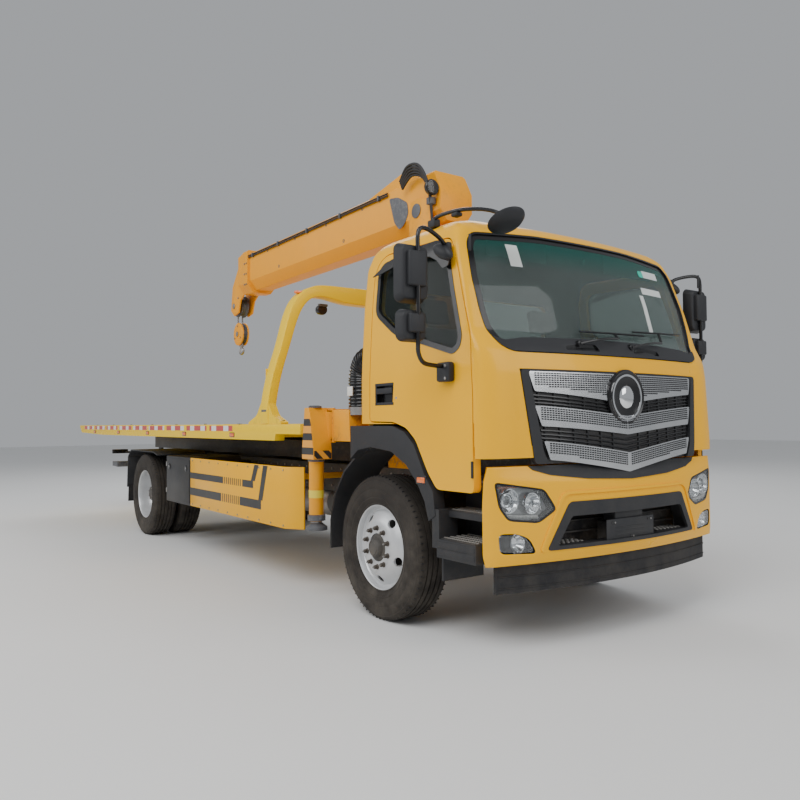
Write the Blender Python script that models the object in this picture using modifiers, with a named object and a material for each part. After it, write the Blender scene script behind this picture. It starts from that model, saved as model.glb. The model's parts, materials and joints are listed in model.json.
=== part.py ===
"""Flatbed tow truck with a slewing telescopic crane. X runs forward, Y to the left, Z up, in metres."""

import math

import bpy
from mathutils import Matrix, Vector

FRONT_AXLE_X = 3.53
WHEEL_BASE = 5.2
REAR_AXLE_X = FRONT_AXLE_X - WHEEL_BASE
HUB_Z = 0.505
TYRE_RADIUS = 0.505
FRONT_WHEEL_Y = 0.975
KINGPIN_Y = 0.80
REAR_TWIN_Y = 0.8955
TWIN_OFFSET = 0.1575

CAB_REAR_X = FRONT_AXLE_X - 0.165
CAB_FLOOR_Z = 1.235
CAB_WALL = 0.055
DOOR_HINGE_X = FRONT_AXLE_X + 1.092
DOOR_HINGE_Y = 1.147
BUMPER_NOSE_X = 4.86
BUMPER_BACK_X = 4.636
TAIL_X = -4.86

RAIL_TOP_Z = 1.0
DECK_HALF_WIDTH = 1.25
DECK_LOW_Z = 1.236
DECK_HIGH_Z = 1.373
DECK_FRONT_X = 2.66
TILT_PIVOT = (-3.42, 0.0, 0.93)
GANTRY_X = 1.93
GANTRY_DEPTH = 0.14

SLEW_X = 2.91
BOOM_PIVOT = (2.81, 0.0, 3.20)
BOOM_LOW_Z = 3.05
BOOM_HIGH_Z = 3.505
BOOM_HALF_WIDTH = 0.17
LUFF_LOW_PIN = (2.69, 0.0, 1.85)
LUFF_HIGH_PIN = (2.48, 0.0, 2.95)
HEAD_PIN = (-1.36, 0.0, 2.93)
OUTRIGGER_X = 2.775
OUTRIGGER_LEG_Y = 1.17
UNDERLIFT_PIN = (-2.85, 0.0, 0.66)

parts = bpy.data.collections.new("tow_truck")
helpers = bpy.data.collections.new("cutters")

COLOURS = {
    "cab_yellow": ((0.86, 0.48, 0.015), 0.0, 0.32),
    "deck_yellow": ((0.84, 0.60, 0.02), 0.0, 0.38),
    "crane_orange": ((0.74, 0.33, 0.04), 0.0, 0.4),
    "dark_plastic": ((0.035, 0.036, 0.04), 0.0, 0.55),
    "chassis_black": ((0.02, 0.02, 0.022), 0.0, 0.5),
    "rubber": ((0.03, 0.027, 0.024), 0.0, 0.85),
    "wheel_silver": ((0.62, 0.63, 0.64), 0.8, 0.35),
    "steel_grey": ((0.16, 0.17, 0.18), 0.7, 0.45),
    "glass": ((0.25, 0.32, 0.31), 0.0, 0.08),
    "trim_fabric": ((0.09, 0.09, 0.1), 0.0, 0.9),
    "lamp_lens": ((0.8, 0.82, 0.84), 0.0, 0.1),
}


def material(name):
    found = bpy.data.materials.get(name)
    if found:
        return found
    made = bpy.data.materials.new(name)
    made.use_nodes = True
    colour, metallic, roughness = COLOURS[name]
    shader = made.node_tree.nodes["Principled BSDF"]
    shader.inputs["Base Color"].default_value = (*colour, 1.0)
    shader.inputs["Metallic"].default_value = metallic
    shader.inputs["Roughness"].default_value = roughness
    return made


def mesh_object(name, points, faces):
    mesh = bpy.data.meshes.new(name)
    mesh.from_pydata([tuple(p) for p in points], [], faces)
    mesh.validate()
    made = bpy.data.objects.new(name, mesh)
    helpers.objects.link(made)
    made.hide_render = True
    made.display_type = "WIRE"
    volume = sum(
        Vector(points[f[0]]).dot(Vector(points[f[i]]).cross(Vector(points[f[i + 1]])))
        for f in faces
        for i in range(1, len(f) - 1)
    )
    if volume < 0:
        mesh.flip_normals()
    return made


def box(name, low, high):
    x0, y0, z0 = low
    x1, y1, z1 = high
    points = [(x, y, z) for z in (z0, z1) for y in (y0, y1) for x in (x0, x1)]
    faces = [(0, 2, 3, 1), (4, 5, 7, 6), (0, 1, 5, 4), (2, 6, 7, 3), (0, 4, 6, 2), (1, 3, 7, 5)]
    return mesh_object(name, points, faces)


def prism(name, outline, axis, start, end):
    """A flat outline pushed along one axis. Its two coordinates are the other two axes in X, Y, Z order."""

    def place(u, v, w):
        return {"X": (w, u, v), "Y": (u, w, v), "Z": (u, v, w)}[axis]

    count = len(outline)
    points = [place(u, v, start) for u, v in outline] + [place(u, v, end) for u, v in outline]
    faces = [tuple(range(count)), tuple(reversed(range(count, 2 * count)))]
    faces += [(i, i + count, (i + 1) % count + count, (i + 1) % count) for i in range(count)]
    return mesh_object(name, points, faces)


def loft(name, rings):
    count = len(rings[0])
    points = [p for ring in rings for p in ring]
    faces = [tuple(range(count)), tuple(reversed(range(len(points) - count, len(points))))]
    for level in range(len(rings) - 1):
        a, b = level * count, (level + 1) * count
        faces += [(a + i, b + i, b + (i + 1) % count, a + (i + 1) % count) for i in range(count)]
    return mesh_object(name, points, faces)


def lathe(name, profile, centre, axis="Y", steps=32, out=1.0):
    """A closed profile of (radius, distance along the axis) turned about the axis through centre."""
    points, index = [], {}
    for i, (radius, along) in enumerate(profile):
        for step in range(1 if radius == 0 else steps):
            angle = 2 * math.pi * step / steps - math.pi / 2
            u, v, w = radius * math.cos(angle), radius * math.sin(angle), along * out
            local = {"Y": (u, w, v), "Z": (u, v, w), "X": (w, u, v)}[axis]
            index[i, step] = len(points)
            points.append(Vector(centre) + Vector(local))
    faces = []
    for i in range(len(profile)):
        j = (i + 1) % len(profile)
        for step in range(steps):
            after = (step + 1) % steps
            a, b = index.get((i, step), index[i, 0]), index.get((i, after), index[i, 0])
            c, d = index.get((j, after), index[j, 0]), index.get((j, step), index[j, 0])
            corner = list(dict.fromkeys((a, b, c, d)))
            if len(corner) > 2:
                faces.append(tuple(corner))
    return mesh_object(name, points, faces)


def rod(name, start, end, radius, sides=12):
    start, end = Vector(start), Vector(end)
    turn = (end - start).to_track_quat("Z", "Y").to_matrix()
    rings = []
    for at in (start, end):
        ring = []
        for i in range(sides):
            angle = 2 * math.pi * i / sides
            ring.append(at + turn @ Vector((radius * math.cos(angle), radius * math.sin(angle), 0)))
        rings.append(ring)
    return loft(name, rings)


def bent_tube(name, path, radius, sides=8):
    path = [Vector(p) for p in path]
    rings = []
    side = None
    for i, at in enumerate(path):
        before = (at - path[i - 1]).normalized() if i else None
        after = (path[i + 1] - at).normalized() if i + 1 < len(path) else None
        along = ((before or after) + (after or before)).normalized()
        if side is None:
            side = along.orthogonal().normalized()
        side = (side - side.dot(along) * along).normalized()
        other = along.cross(side)
        stretch = 1 / max(0.6, along.dot(before or after))
        ring = []
        for k in range(sides):
            angle = 2 * math.pi * k / sides
            ring.append(at + radius * stretch * (side * math.cos(angle) + other * math.sin(angle)))
        rings.append(ring)
    return loft(name, rings)


def combine(target, others, operation):
    for other in others:
        step = target.modifiers.new(operation.lower() + "_" + other.name, "BOOLEAN")
        step.operation = operation
        step.solver = "EXACT"
        step.object = other
    return target


def join(target, *others):
    return combine(target, others, "UNION")


def cut(target, *others):
    return combine(target, others, "DIFFERENCE")


def keep(target, *others):
    return combine(target, others, "INTERSECT")


def node(made, name, surface, origin=None, bevel=0.0):
    """Makes a helper into a named part, with its origin where it turns."""
    made.name = name
    made.data.name = name
    helpers.objects.unlink(made)
    parts.objects.link(made)
    made.hide_render = False
    made.display_type = "TEXTURED"
    made.data.materials.clear()
    made.data.materials.append(material(surface))
    if bevel:
        soft = made.modifiers.new("bevel", "BEVEL")
        soft.width = bevel
        soft.segments = 1
        soft.limit_method = "ANGLE"
        soft.angle_limit = math.radians(50)
    if origin:
        made.data.transform(Matrix.Translation(-Vector(origin)))
        made.location = origin
    return made


def mirrored(outline):
    return [(-u, v) for u, v in reversed(outline)]


def both(outline):
    """A half outline from one edge to the centre line, and its mirror image."""
    return outline + [(-u, v) for u, v in reversed(outline) if abs(u) > 1e-9]


# height, front X at the centre, half width, rear X, width and depth of the rounded front corner
CAB_LEVELS = (
    (0.955, 1.300, 1.145, -0.165, 0.262, 0.105),
    (1.235, 1.298, 1.150, -0.165, 0.262, 0.105),
    (1.700, 1.272, 1.147, -0.165, 0.265, 0.105),
    (1.810, 1.245, 1.142, -0.165, 0.250, 0.080),
    (1.930, 1.175, 1.135, -0.165, 0.110, 0.035),
    (2.200, 1.100, 1.118, -0.165, 0.085, 0.034),
    (2.480, 1.000, 1.090, -0.158, 0.080, 0.040),
    (2.600, 0.945, 1.048, -0.130, 0.085, 0.060),
    (2.665, 0.870, 0.985, -0.080, 0.120, 0.100),
    (2.715, 0.740, 0.870, 0.020, 0.160, 0.140),
    (2.745, 0.520, 0.640, 0.180, 0.200, 0.160),
)


def cab_ring(height, front, half, rear, corner, depth, inset):
    """One level of the cab: a bowed front, rounded front corners and a flat back."""
    front, rear, half = front - inset, rear + inset, half - inset
    corner = max(corner - inset * 0.5, 0.03)
    inner = half - corner
    face_x = front - 0.097 * inner * inner
    side_x = face_x - depth
    ring = [(rear, half - 0.06), (rear + 0.018, half - 0.018), (rear + 0.06, half), (side_x, half)]
    for angle in (30, 60, 90):
        a = math.radians(angle)
        ring.append((side_x + (face_x - side_x) * math.sin(a), inner + corner * math.cos(a)))
    for part in (2 / 3, 1 / 3):
        ring.append((front - 0.097 * (inner * part) ** 2, inner * part))
    ring = [(x + FRONT_AXLE_X, y) for x, y in ring]
    ring = ring + [(x, -y) for x, y in reversed(ring)]
    return [(x, y, height) for x, y in ring]


def at_height(z):
    """The cab's level values at any height between two levels."""
    for low, high in zip(CAB_LEVELS, CAB_LEVELS[1:]):
        if low[0] <= z <= high[0]:
            part = (z - low[0]) / (high[0] - low[0])
            return tuple(a + (b - a) * part for a, b in zip(low, high))
    return (z, *CAB_LEVELS[0 if z < CAB_LEVELS[0][0] else -1][1:])


def cab_solid(name, inset, low_z, high_z=None):
    top = CAB_LEVELS[-1][0] - max(inset, 0)
    high_z = min(high_z or top, top)
    levels = [at_height(low_z)] + [v for v in CAB_LEVELS if low_z + 0.01 < v[0] < high_z - 0.01]
    levels.append(at_height(high_z))
    return loft(name, [cab_ring(*values, inset) for values in levels])


def scaled(outline, margin):
    """Moves each corner of a convex-like outline out from the middle by a margin on each axis."""
    middle_u = (min(u for u, _ in outline) + max(u for u, _ in outline)) / 2
    middle_v = (min(v for _, v in outline) + max(v for _, v in outline)) / 2
    half_u = max(u for u, _ in outline) - middle_u
    half_v = max(v for _, v in outline) - middle_v
    return [
        (middle_u + (u - middle_u) * (1 + margin / half_u), middle_v + (v - middle_v) * (1 + margin / half_v))
        for u, v in outline
    ]


def forward(outline):
    """From distances ahead of the front axle to X."""
    return [(u + FRONT_AXLE_X, v) for u, v in outline]


DOOR_OUTLINE = forward([
    (-0.012, 1.39), (0.27, 1.385), (0.42, 1.345), (0.525, 1.265), (0.645, 1.065), (0.735, 0.962),
    (1.086, 0.962), (1.083, 1.55), (1.060, 1.87), (1.000, 2.06), (0.925, 2.29), (0.850, 2.48), (0.79, 2.535),
    (0.10, 2.555), (0.03, 2.52), (-0.012, 2.40),
])
DOOR_GAP_OUTLINE = forward([
    (-0.022, 1.37), (0.27, 1.37), (0.42, 1.33), (0.525, 1.25), (0.645, 1.05), (0.735, 0.93),
    (1.096, 0.93), (1.093, 1.55), (1.070, 1.873), (1.010, 2.064), (0.935, 2.294), (0.859, 2.487),
    (0.795, 2.545),
    (0.096, 2.565), (0.022, 2.528), (-0.022, 2.404),
])
DOOR_WINDOW = forward([
    (0.06, 2.15), (0.285, 2.00), (0.90, 1.822), (0.945, 1.85), (0.955, 1.90), (0.80, 2.40), (0.745, 2.45),
    (0.11, 2.475), (0.06, 2.43),
])
WINDSCREEN = both([
    (0.88, 1.800), (0.97, 1.832), (1.025, 1.93), (1.045, 2.05), (1.050, 2.25), (1.02, 2.50), (0.96, 2.575),
    (0.45, 2.605),
])
GRILLE_OUTLINE = both([(0.80, 1.125), (0.872, 1.695)])


def build_cab():
    shell = cab_solid("cab_outer", 0.0, CAB_FLOOR_Z)
    cut(shell, cab_solid("cab_inner", CAB_WALL, CAB_FLOOR_Z + 0.05))
    for side, sign in (("right", -1), ("left", 1)):
        cut(shell, prism("door_opening_" + side, DOOR_GAP_OUTLINE, "Y", sign * 0.96, sign * 1.4))
        low = [(u, v) for u, v in forward([(-0.3, 1.1), (-0.005, 1.1), (-0.005, 1.39), (-0.3, 1.385)])]
        cut(shell, prism("arch_opening_" + side, low, "Y", sign * 1.063, sign * 1.4))
    cut(shell, box("sill_right", (CAB_REAR_X - 0.1, -1.4, 1.1), (FRONT_AXLE_X + 1.099, -1.063, 1.372)))
    cut(shell, box("sill_left", (CAB_REAR_X - 0.1, 1.063, 1.1), (FRONT_AXLE_X + 1.099, 1.4, 1.372)))
    cut(shell, prism("screen_opening", WINDSCREEN, "X", FRONT_AXLE_X + 0.75, FRONT_AXLE_X + 1.6))
    cut(
        shell,
        prism("grille_opening", scaled(GRILLE_OUTLINE, 0.002), "X", FRONT_AXLE_X + 1.1, FRONT_AXLE_X + 1.6),
    )
    cut(shell, box("rear_opening", (CAB_REAR_X - 0.1, -0.72, 1.93), (CAB_REAR_X + 0.1, 0.72, 2.36)))
    node(shell, "cab_shell", "cab_yellow")

    screen = cab_solid("screen_outer", 0.008, 1.78, 2.66)
    cut(screen, cab_solid("screen_inner", 0.014, 1.74, 2.70))
    keep(
        screen,
        prism("screen_trim", scaled(WINDSCREEN, -0.001), "X", FRONT_AXLE_X + 0.76, FRONT_AXLE_X + 1.5),
    )
    node(screen, "windscreen", "glass")

    grille = cab_solid("grille_outer", -0.006, 1.11, 1.72)
    cut(grille, cab_solid("grille_inner", 0.03, 1.10, 1.73))
    keep(grille, prism("grille_trim", GRILLE_OUTLINE, "X", FRONT_AXLE_X + 1.12, FRONT_AXLE_X + 1.5))
    node(grille, "grille_panel", "dark_plastic")

    pane = box("pane", (CAB_REAR_X + 0.022, -0.719, 1.931), (CAB_REAR_X + 0.028, 0.719, 2.359))
    node(pane, "rear_window", "glass")


def build_door(side, sign):
    door = cab_solid("door_outer_" + side, 0.0, 0.956, 2.60)
    cut(door, cab_solid("door_inner_" + side, CAB_WALL, 0.90, 2.66))
    keep(door, prism("door_trim_" + side, DOOR_OUTLINE, "Y", sign * 0.98, sign * 1.3))
    cut(door, prism("door_window_" + side, DOOR_WINDOW, "Y", sign * 0.9, sign * 1.4))
    node(door, "door_" + side, "cab_yellow", (DOOR_HINGE_X, sign * DOOR_HINGE_Y, 1.5))

    glass = cab_solid("glass_outer_" + side, 0.022, 1.70, 2.56)
    cut(glass, cab_solid("glass_inner_" + side, 0.027, 1.69, 2.58))
    keep(glass, prism("glass_trim_" + side, scaled(DOOR_WINDOW, -0.001), "Y", sign * 0.98, sign * 1.3))
    node(glass, "door_glass_" + side, "glass", (DOOR_HINGE_X, sign * DOOR_HINGE_Y, 1.5))

    x = FRONT_AXLE_X + 0.87
    arm = bent_tube(
        "mirror_arm_" + side,
        [(x - 0.02, sign * 1.125, 2.40), (x - 0.01, sign * 1.20, 2.50), (x, sign * 1.32, 2.53), (x, sign * 1.395, 2.50),
         (x, sign * 1.41, 2.40), (x, sign * 1.41, 1.86), (x, sign * 1.385, 1.77), (x, sign * 1.30, 1.72),
         (x, sign * 1.18, 1.70)],
        0.013, 6,
    )
    join(
        arm,
        box(
            "main_mirror_" + side, (x - 0.045, min(sign * 1.34, sign * 1.53), 2.09),
            (x + 0.035, max(sign * 1.34, sign * 1.53), 2.46),
        ),
        box(
            "wide_mirror_" + side, (x - 0.04, min(sign * 1.345, sign * 1.51), 1.855),
            (x + 0.03, max(sign * 1.345, sign * 1.51), 2.045),
        ),
        box(
            "mirror_foot_" + side, (x - 0.05, min(sign * 1.152, sign * 1.20), 1.62),
            (x + 0.05, max(sign * 1.152, sign * 1.20), 1.75),
        ),
        box(
            "kerb_mirror_" + side, (x - 0.09, min(sign * 1.118, sign * 1.19), 2.33),
            (x + 0.06, max(sign * 1.118, sign * 1.19), 2.43),
        ),
    )
    node(arm, "door_mirror_" + side, "dark_plastic", (DOOR_HINGE_X, sign * DOOR_HINGE_Y, 1.5))


def build_front_mirror():
    x = FRONT_AXLE_X
    arm = bent_tube(
        "front_arm",
        [
            (x + 0.51, -0.985, 2.70), (x + 0.57, -0.99, 2.73), (x + 0.75, -0.96, 2.73),
            (x + 1.04, -0.885, 2.655), (x + 1.095, -0.872, 2.60),
        ],
        0.013,
    )
    dish = lathe(
        "dish", [(0, -0.035), (0.075, -0.03), (0.115, 0.0), (0.12, 0.015), (0, 0.03)], (0, 0, 0), "Z", 16,
    )
    dish.data.transform(
        Matrix.Translation((x + 1.10, -0.87, 2.60)) @ Matrix.Rotation(math.radians(-28), 4, "Y")
    )
    node(join(arm, dish), "front_mirror", "dark_plastic")


def bumper_ring(z, inset, thick):
    front = []
    for y in (1.13, 1.05, 0.85, 0.6, 0.3, 0.0):
        side = 0.025 if y == 1.13 else 0.0
        fade = 1 - 0.9 * (y / 1.13) ** 2
        front.append((BUMPER_NOSE_X - inset * fade - side - 0.125 * y * y, min(y, 1.13 - inset * 0.4)))
    front = front + [(x, -y) for x, y in reversed(front[:-1])]
    back_x = [max(x - thick, BUMPER_BACK_X) for x, _ in front]
    back = [(bx, y * 0.97) for bx, (_, y) in zip(back_x, front)]
    return [(x, y, z) for x, y in front + list(reversed(back))]


HEADLAMP = [(1.075, 1.03), (0.74, 0.985), (0.665, 0.885), (0.765, 0.79), (0.99, 0.81), (1.05, 0.88)]


def build_bumper():
    levels = ((0.54, 0.03), (0.60, 0.0), (0.90, 0.0), (1.03, 0.015), (1.115, 0.075))

    def shape(name, extra, low=0, high=5):
        return loft(name, [bumper_ring(z, inset + extra, 0.11) for z, inset in levels[low:high]])

    bumper = shape("bumper", 0.0)
    slot = both([(0.72, 0.615), (0.565, 0.880)])
    cut(bumper, prism("slot_cut", slot, "X", 4.4, 5.0))
    for side, sign in (("right", -1), ("left", 1)):
        outline = [(sign * u, v) for u, v in HEADLAMP]
        cut(bumper, prism("lamp_cut_" + side, outline, "X", 4.4, 5.0))
        lamp = shape("lamp_body_" + side, 0.004)
        keep(lamp, prism("lamp_trim_" + side, scaled(outline, -0.0015), "X", 4.4, 5.0))
        node(lamp, "headlamp_" + side, "lamp_lens")
    node(bumper, "front_bumper", "cab_yellow")
    lip = [(BUMPER_NOSE_X - 0.05 - 0.125 * y * y, y) for y in (1.034, 0.7, 0.35, 0.0)]
    lip = lip + [(x, -y) for x, y in reversed(lip[:-1])]
    lip = lip + [(x - 0.025, y) for x, y in reversed(lip)]
    node(prism("lip", lip, "Z", 0.366, 0.5394), "air_deflector", "rubber")


def build_fender(side, sign):
    flare = forward([
        (-0.27, 1.12), (-0.27, 1.358), (0.262, 1.358), (0.405, 1.318), (0.507, 1.238), (0.622, 1.045),
        (0.708, 0.945),
        (0.728, 0.80), (0.66, 0.76), (0.62, 0.88), (0.535, 1.0), (0.42, 1.105), (0.25, 1.185), (0.0, 1.21),
        (-0.17, 1.185),
    ])
    arch = prism("flare_" + side, flare, "Y", sign * 1.07, sign * 1.155)
    inner, outer = 0.70, 0.717
    angles = [math.radians(a) for a in range(-10, 206, 18)]
    ring = [(outer * math.cos(a), outer * math.sin(a)) for a in angles]
    ring += [(inner * math.cos(a), inner * math.sin(a)) for a in reversed(angles)]
    liner = prism(
        "liner_" + side, [(u + FRONT_AXLE_X, v + HUB_Z) for u, v in ring], "Y", sign * 0.74, sign * 1.0755,
    )
    step_low, step_high = sorted((sign * 0.86, sign * 1.15))
    riser_low, riser_high = sorted((sign * 0.80, sign * 0.88))
    tread_low, tread_high = sorted((sign * 0.86, sign * 1.07))
    x = FRONT_AXLE_X
    join(
        arch,
        liner,
        box("riser_" + side, (x + 0.70, riser_low, 0.56), (x + 1.08, riser_high, 0.93)),
        box("tray_" + side, (x + 0.735, step_low, 0.545), (x + 1.10, step_high, 0.66)),
        box("tread_" + side, (x + 0.71, tread_low, 0.79), (x + 1.08, tread_high, 0.83)),
        box(
            "link_" + side, (x + 0.69, *sorted((sign * 1.0, sign * 1.15))[:1], 0.60),
            (x + 0.76, max(sign * 1.0, sign * 1.15), 0.84),
        ),
    )
    node(arch, "front_fender_" + side, "dark_plastic")


def build_cab_inside():
    x = FRONT_AXLE_X
    dash = prism(
        "dash",
        forward(
            [
                (0.80, 1.30), (1.13, 1.30), (1.135, 1.68), (1.08, 1.84), (0.88, 1.86), (0.76, 1.74),
                (0.78, 1.52),
            ]
        ),
        "Y", -0.86, 0.86,
    )
    node(dash, "dashboard", "trim_fabric")
    console = box("console", (x + 0.08, -0.34, 1.2855), (x + 0.50, 0.34, 1.47))
    pieces = []
    for side, y in (("driver", 0.56), ("passenger", -0.56)):
        seat = box("seat_" + side, (x + 0.10, y - 0.25, 1.40), (x + 0.58, y + 0.25, 1.56))
        back = prism(
            "back_" + side, forward([(0.065, 1.51), (0.20, 1.51), (0.07, 2.12), (-0.045, 2.12)]), "Y",
            y - 0.22, y + 0.22,
        )
        head = prism(
            "head_" + side, forward([(-0.03, 2.08), (0.06, 2.08), (0.04, 2.30), (-0.045, 2.30)]), "Y",
            y - 0.13, y + 0.13,
        )
        base = box("base_" + side, (x + 0.13, y - 0.19, 1.2875), (x + 0.53, y + 0.19, 1.43))
        pieces += [seat, back, head, base]
    node(join(console, *pieces), "seats", "trim_fabric")
    wheel = lathe(
        "wheel_ring", [(0.214, -0.016), (0.232, 0.0), (0.214, 0.016), (0.196, 0.0)], (0, 0, 0), "Z", 20
    )
    hub = lathe("wheel_hub", [(0, -0.03), (0.06, -0.03), (0.06, 0.02), (0, 0.02)], (0, 0, 0), "Z", 12)
    bar = box("wheel_bar", (-0.022, -0.205, -0.01), (0.022, 0.205, 0.008))
    column = rod("wheel_column", (0, 0, -0.13), (0, 0, -0.01), 0.03, 8)
    turn = Matrix.Translation((x + 0.66, 0.56, 1.82)) @ Matrix.Rotation(math.radians(-32), 4, "Y")
    for piece in (wheel, hub, bar, column):
        piece.data.transform(turn)
    join(wheel, hub, bar, column)
    node(wheel, "steering_wheel", "dark_plastic")


TYRE_HALF = [(0.2905, 0.105), (0.345, 0.134), (0.43, 0.1375), (0.490, 0.116), (TYRE_RADIUS, 0.085)]
WHEEL_STEPS = 24


def tyre_profile(centre, bore=TYRE_HALF[0][0]):
    half = [(bore, TYRE_HALF[0][1])] + TYRE_HALF[1:]
    return [(r, centre + y) for r, y in half] + [(r, centre - y) for r, y in reversed(half)]


def build_front_wheel(side, sign):
    at = (FRONT_AXLE_X, sign * FRONT_WHEEL_Y, HUB_Z)
    node(
        lathe("front_tyre", tyre_profile(0.0), at, "Y", WHEEL_STEPS, sign), "front_tyre_" + side, "rubber",
        at,
    )
    profile = [
        (0.02, 0.176), (0.072, 0.172), (0.086, 0.124), (0.20, 0.116), (0.279, 0.068), (0.2985, 0.112),
        (0.288, 0.104),
        (0.288, -0.104), (0.2985, -0.112), (0.279, -0.112), (0.279, 0.02), (0.20, 0.088), (0.104, 0.096),
        (0.102, 0.018), (0.02, 0.022),
    ]
    profile = profile if sign > 0 else profile[::-1]
    node(lathe("front_rim", profile, at, "Y", WHEEL_STEPS, sign), "front_rim_" + side, "wheel_silver", at)


def build_rear_wheel(side, sign):
    at = (REAR_AXLE_X, sign * REAR_TWIN_Y, HUB_Z)
    outer = lathe("outer_tyre", tyre_profile(TWIN_OFFSET, 0.2865), at, "Y", WHEEL_STEPS, sign)
    inner = lathe("inner_tyre", tyre_profile(-TWIN_OFFSET, 0.2865), at, "Y", WHEEL_STEPS, sign)
    profile = [
        (0.2985, 0.2695), (0.288, 0.2615), (0.288, 0.0535), (0.2985, 0.0455), (0.225, 0.0), (0.2985, -0.0455),
        (0.288, -0.0535),
        (0.288, -0.2615), (0.2985, -0.2695), (0.279, -0.2695), (0.279, -0.062), (0.12, -0.03), (0, -0.045),
        (0, 0.205),
        (0.096, 0.195), (0.11, 0.03), (0.279, 0.062), (0.279, 0.2695),
    ]
    node(
        join(lathe("rims", profile, at, "Y", WHEEL_STEPS, sign), outer, inner), "rear_wheels_" + side,
        "rubber", at,
    )


def build_knuckle(side, sign):
    x, y = FRONT_AXLE_X, sign * KINGPIN_Y

    def span(a, b):
        return sorted((sign * a, sign * b))

    web = box(
        "knuckle_" + side, (x - 0.05, span(0.852, 0.88)[0], 0.405), (x + 0.05, span(0.852, 0.88)[1], 0.605),
    )
    upper = box(
        "upper_lug", (x - 0.045, span(0.762, 0.87)[0], 0.565), (x + 0.045, span(0.762, 0.87)[1], 0.604),
    )
    lower = box(
        "lower_lug", (x - 0.045, span(0.762, 0.87)[0], 0.406), (x + 0.045, span(0.762, 0.87)[1], 0.445),
    )
    drum = lathe(
        "drum", [(0, 0.872), (0.16, 0.872), (0.19, 0.885), (0.19, 0.95), (0, 0.95)], (x, 0, HUB_Z), "Y", 18,
        sign,
    )
    spindle = lathe(
        "spindle", [(0, 0.87), (0.05, 0.87), (0.045, 0.984), (0, 0.984)], (x, 0, HUB_Z), "Y", 12, sign,
    )
    arm = box(
        "steering_arm", (x - 0.22, span(0.775, 0.815)[0], 0.41), (x + 0.02, span(0.775, 0.815)[1], 0.44),
    )
    node(join(web, upper, lower, drum, spindle, arm), "knuckle_" + side, "steel_grey", (x, y, HUB_Z))


def leaf_spring(name, x, sign, low, high):
    leaf = box(
        name, (x - 0.72, min(sign * 0.345, sign * 0.415), low),
        (x + 0.72, max(sign * 0.345, sign * 0.415), high),
    )
    hangers = [
        box(
            name + end, (x + at - 0.04, min(sign * 0.352, sign * 0.408), high - 0.01),
            (x + at + 0.04, max(sign * 0.352, sign * 0.408), 0.7394),
        )
        for end, at in (("_front", 0.66), ("_rear", -0.66))
    ]
    return join(leaf, *hangers)


def build_axles():
    x = FRONT_AXLE_X
    beam = box("front_beam", (x - 0.045, -0.74, 0.455), (x + 0.045, 0.74, 0.555))
    for sign in (-1, 1):
        eye = lathe(
            "eye", [(0, 0.452), (0.042, 0.452), (0.042, 0.558), (0, 0.558)], (x, sign * KINGPIN_Y, 0), "Z",
            14,
        )
        neck = box(
            "neck", (x - 0.035, min(sign * 0.72, sign * 0.78), 0.46),
            (x + 0.035, max(sign * 0.72, sign * 0.78), 0.55),
        )
        join(beam, eye, neck, leaf_spring("front_leaf", x, sign, 0.55, 0.60))
    node(beam, "front_axle", "chassis_black")

    x = REAR_AXLE_X
    tube = rod("rear_tube", (x, -0.845, HUB_Z), (x, 0.845, HUB_Z), 0.075, 16)
    ball = lathe(
        "diff", [(0, -0.19), (0.13, -0.16), (0.2, -0.06), (0.2, 0.06), (0.13, 0.16), (0, 0.19)],
        (x, 0, HUB_Z), "Y", 14,
    )
    nose = rod("diff_nose", (x, 0, HUB_Z + 0.02), (x + 0.34, 0, 0.55), 0.09, 12)
    join(tube, ball, nose, rod("shaft", (FRONT_AXLE_X - 0.286, 0, 0.83), (x + 0.30, 0, 0.545), 0.05, 14))
    for sign in (-1, 1):
        drum = lathe(
            "rear_drum", [(0, 0.64), (0.2, 0.64), (0.205, 0.66), (0.205, 0.80), (0, 0.80)], (x, 0, HUB_Z),
            "Y", 20, sign,
        )
        join(tube, drum, leaf_spring("rear_leaf", x, sign, 0.57, 0.65))
    node(tube, "rear_axle", "chassis_black")


def build_chassis():
    front, rear = FRONT_AXLE_X + 1.02, -3.32
    frame = box("rail_right", (rear, -0.43, 0.74), (front, -0.35, RAIL_TOP_Z))
    join(frame, box("rail_left", (rear, 0.35, 0.74), (front, 0.43, RAIL_TOP_Z)))
    for i, x in enumerate((front - 0.10, 2.45, 0.9, -0.7, -2.4, rear)):
        join(frame, box(f"cross_{i}", (x, -0.36, 0.86), (x + 0.09, 0.36, 0.97)))
    join(frame, box("bumper_bar", (front - 0.02, -0.78, 0.72), (front + 0.06, 0.78, 0.90)))
    for sign in (-1, 1):
        join(
            frame,
            box(
                "pivot_plate", (TILT_PIVOT[0] - 0.06, min(sign * 0.355, sign * 0.385), 0.80),
                (rear + 0.2, max(sign * 0.355, sign * 0.385), 0.985),
            ),
        )
        join(
            frame,
            box(
                "underlift_plate", (-2.94, min(sign * 0.12, sign * 0.15), 0.60),
                (-2.70, max(sign * 0.12, sign * 0.15), 0.80),
            ),
        )
    join(frame, box("underlift_beam", (-2.80, -0.36, 0.78), (-2.72, 0.36, 0.84)))
    node(frame, "chassis_frame", "chassis_black")

    x = FRONT_AXLE_X
    block = prism(
        "engine",
        forward(
            [
                (-0.28, 0.66), (0.72, 0.66), (0.86, 0.74), (0.86, 1.10), (0.60, 1.19), (-0.20, 1.19),
                (-0.28, 1.10),
            ]
        ),
        "Y", -0.30, 0.30,
    )
    node(block, "engine_block", "steel_grey", bevel=0.02)


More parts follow.
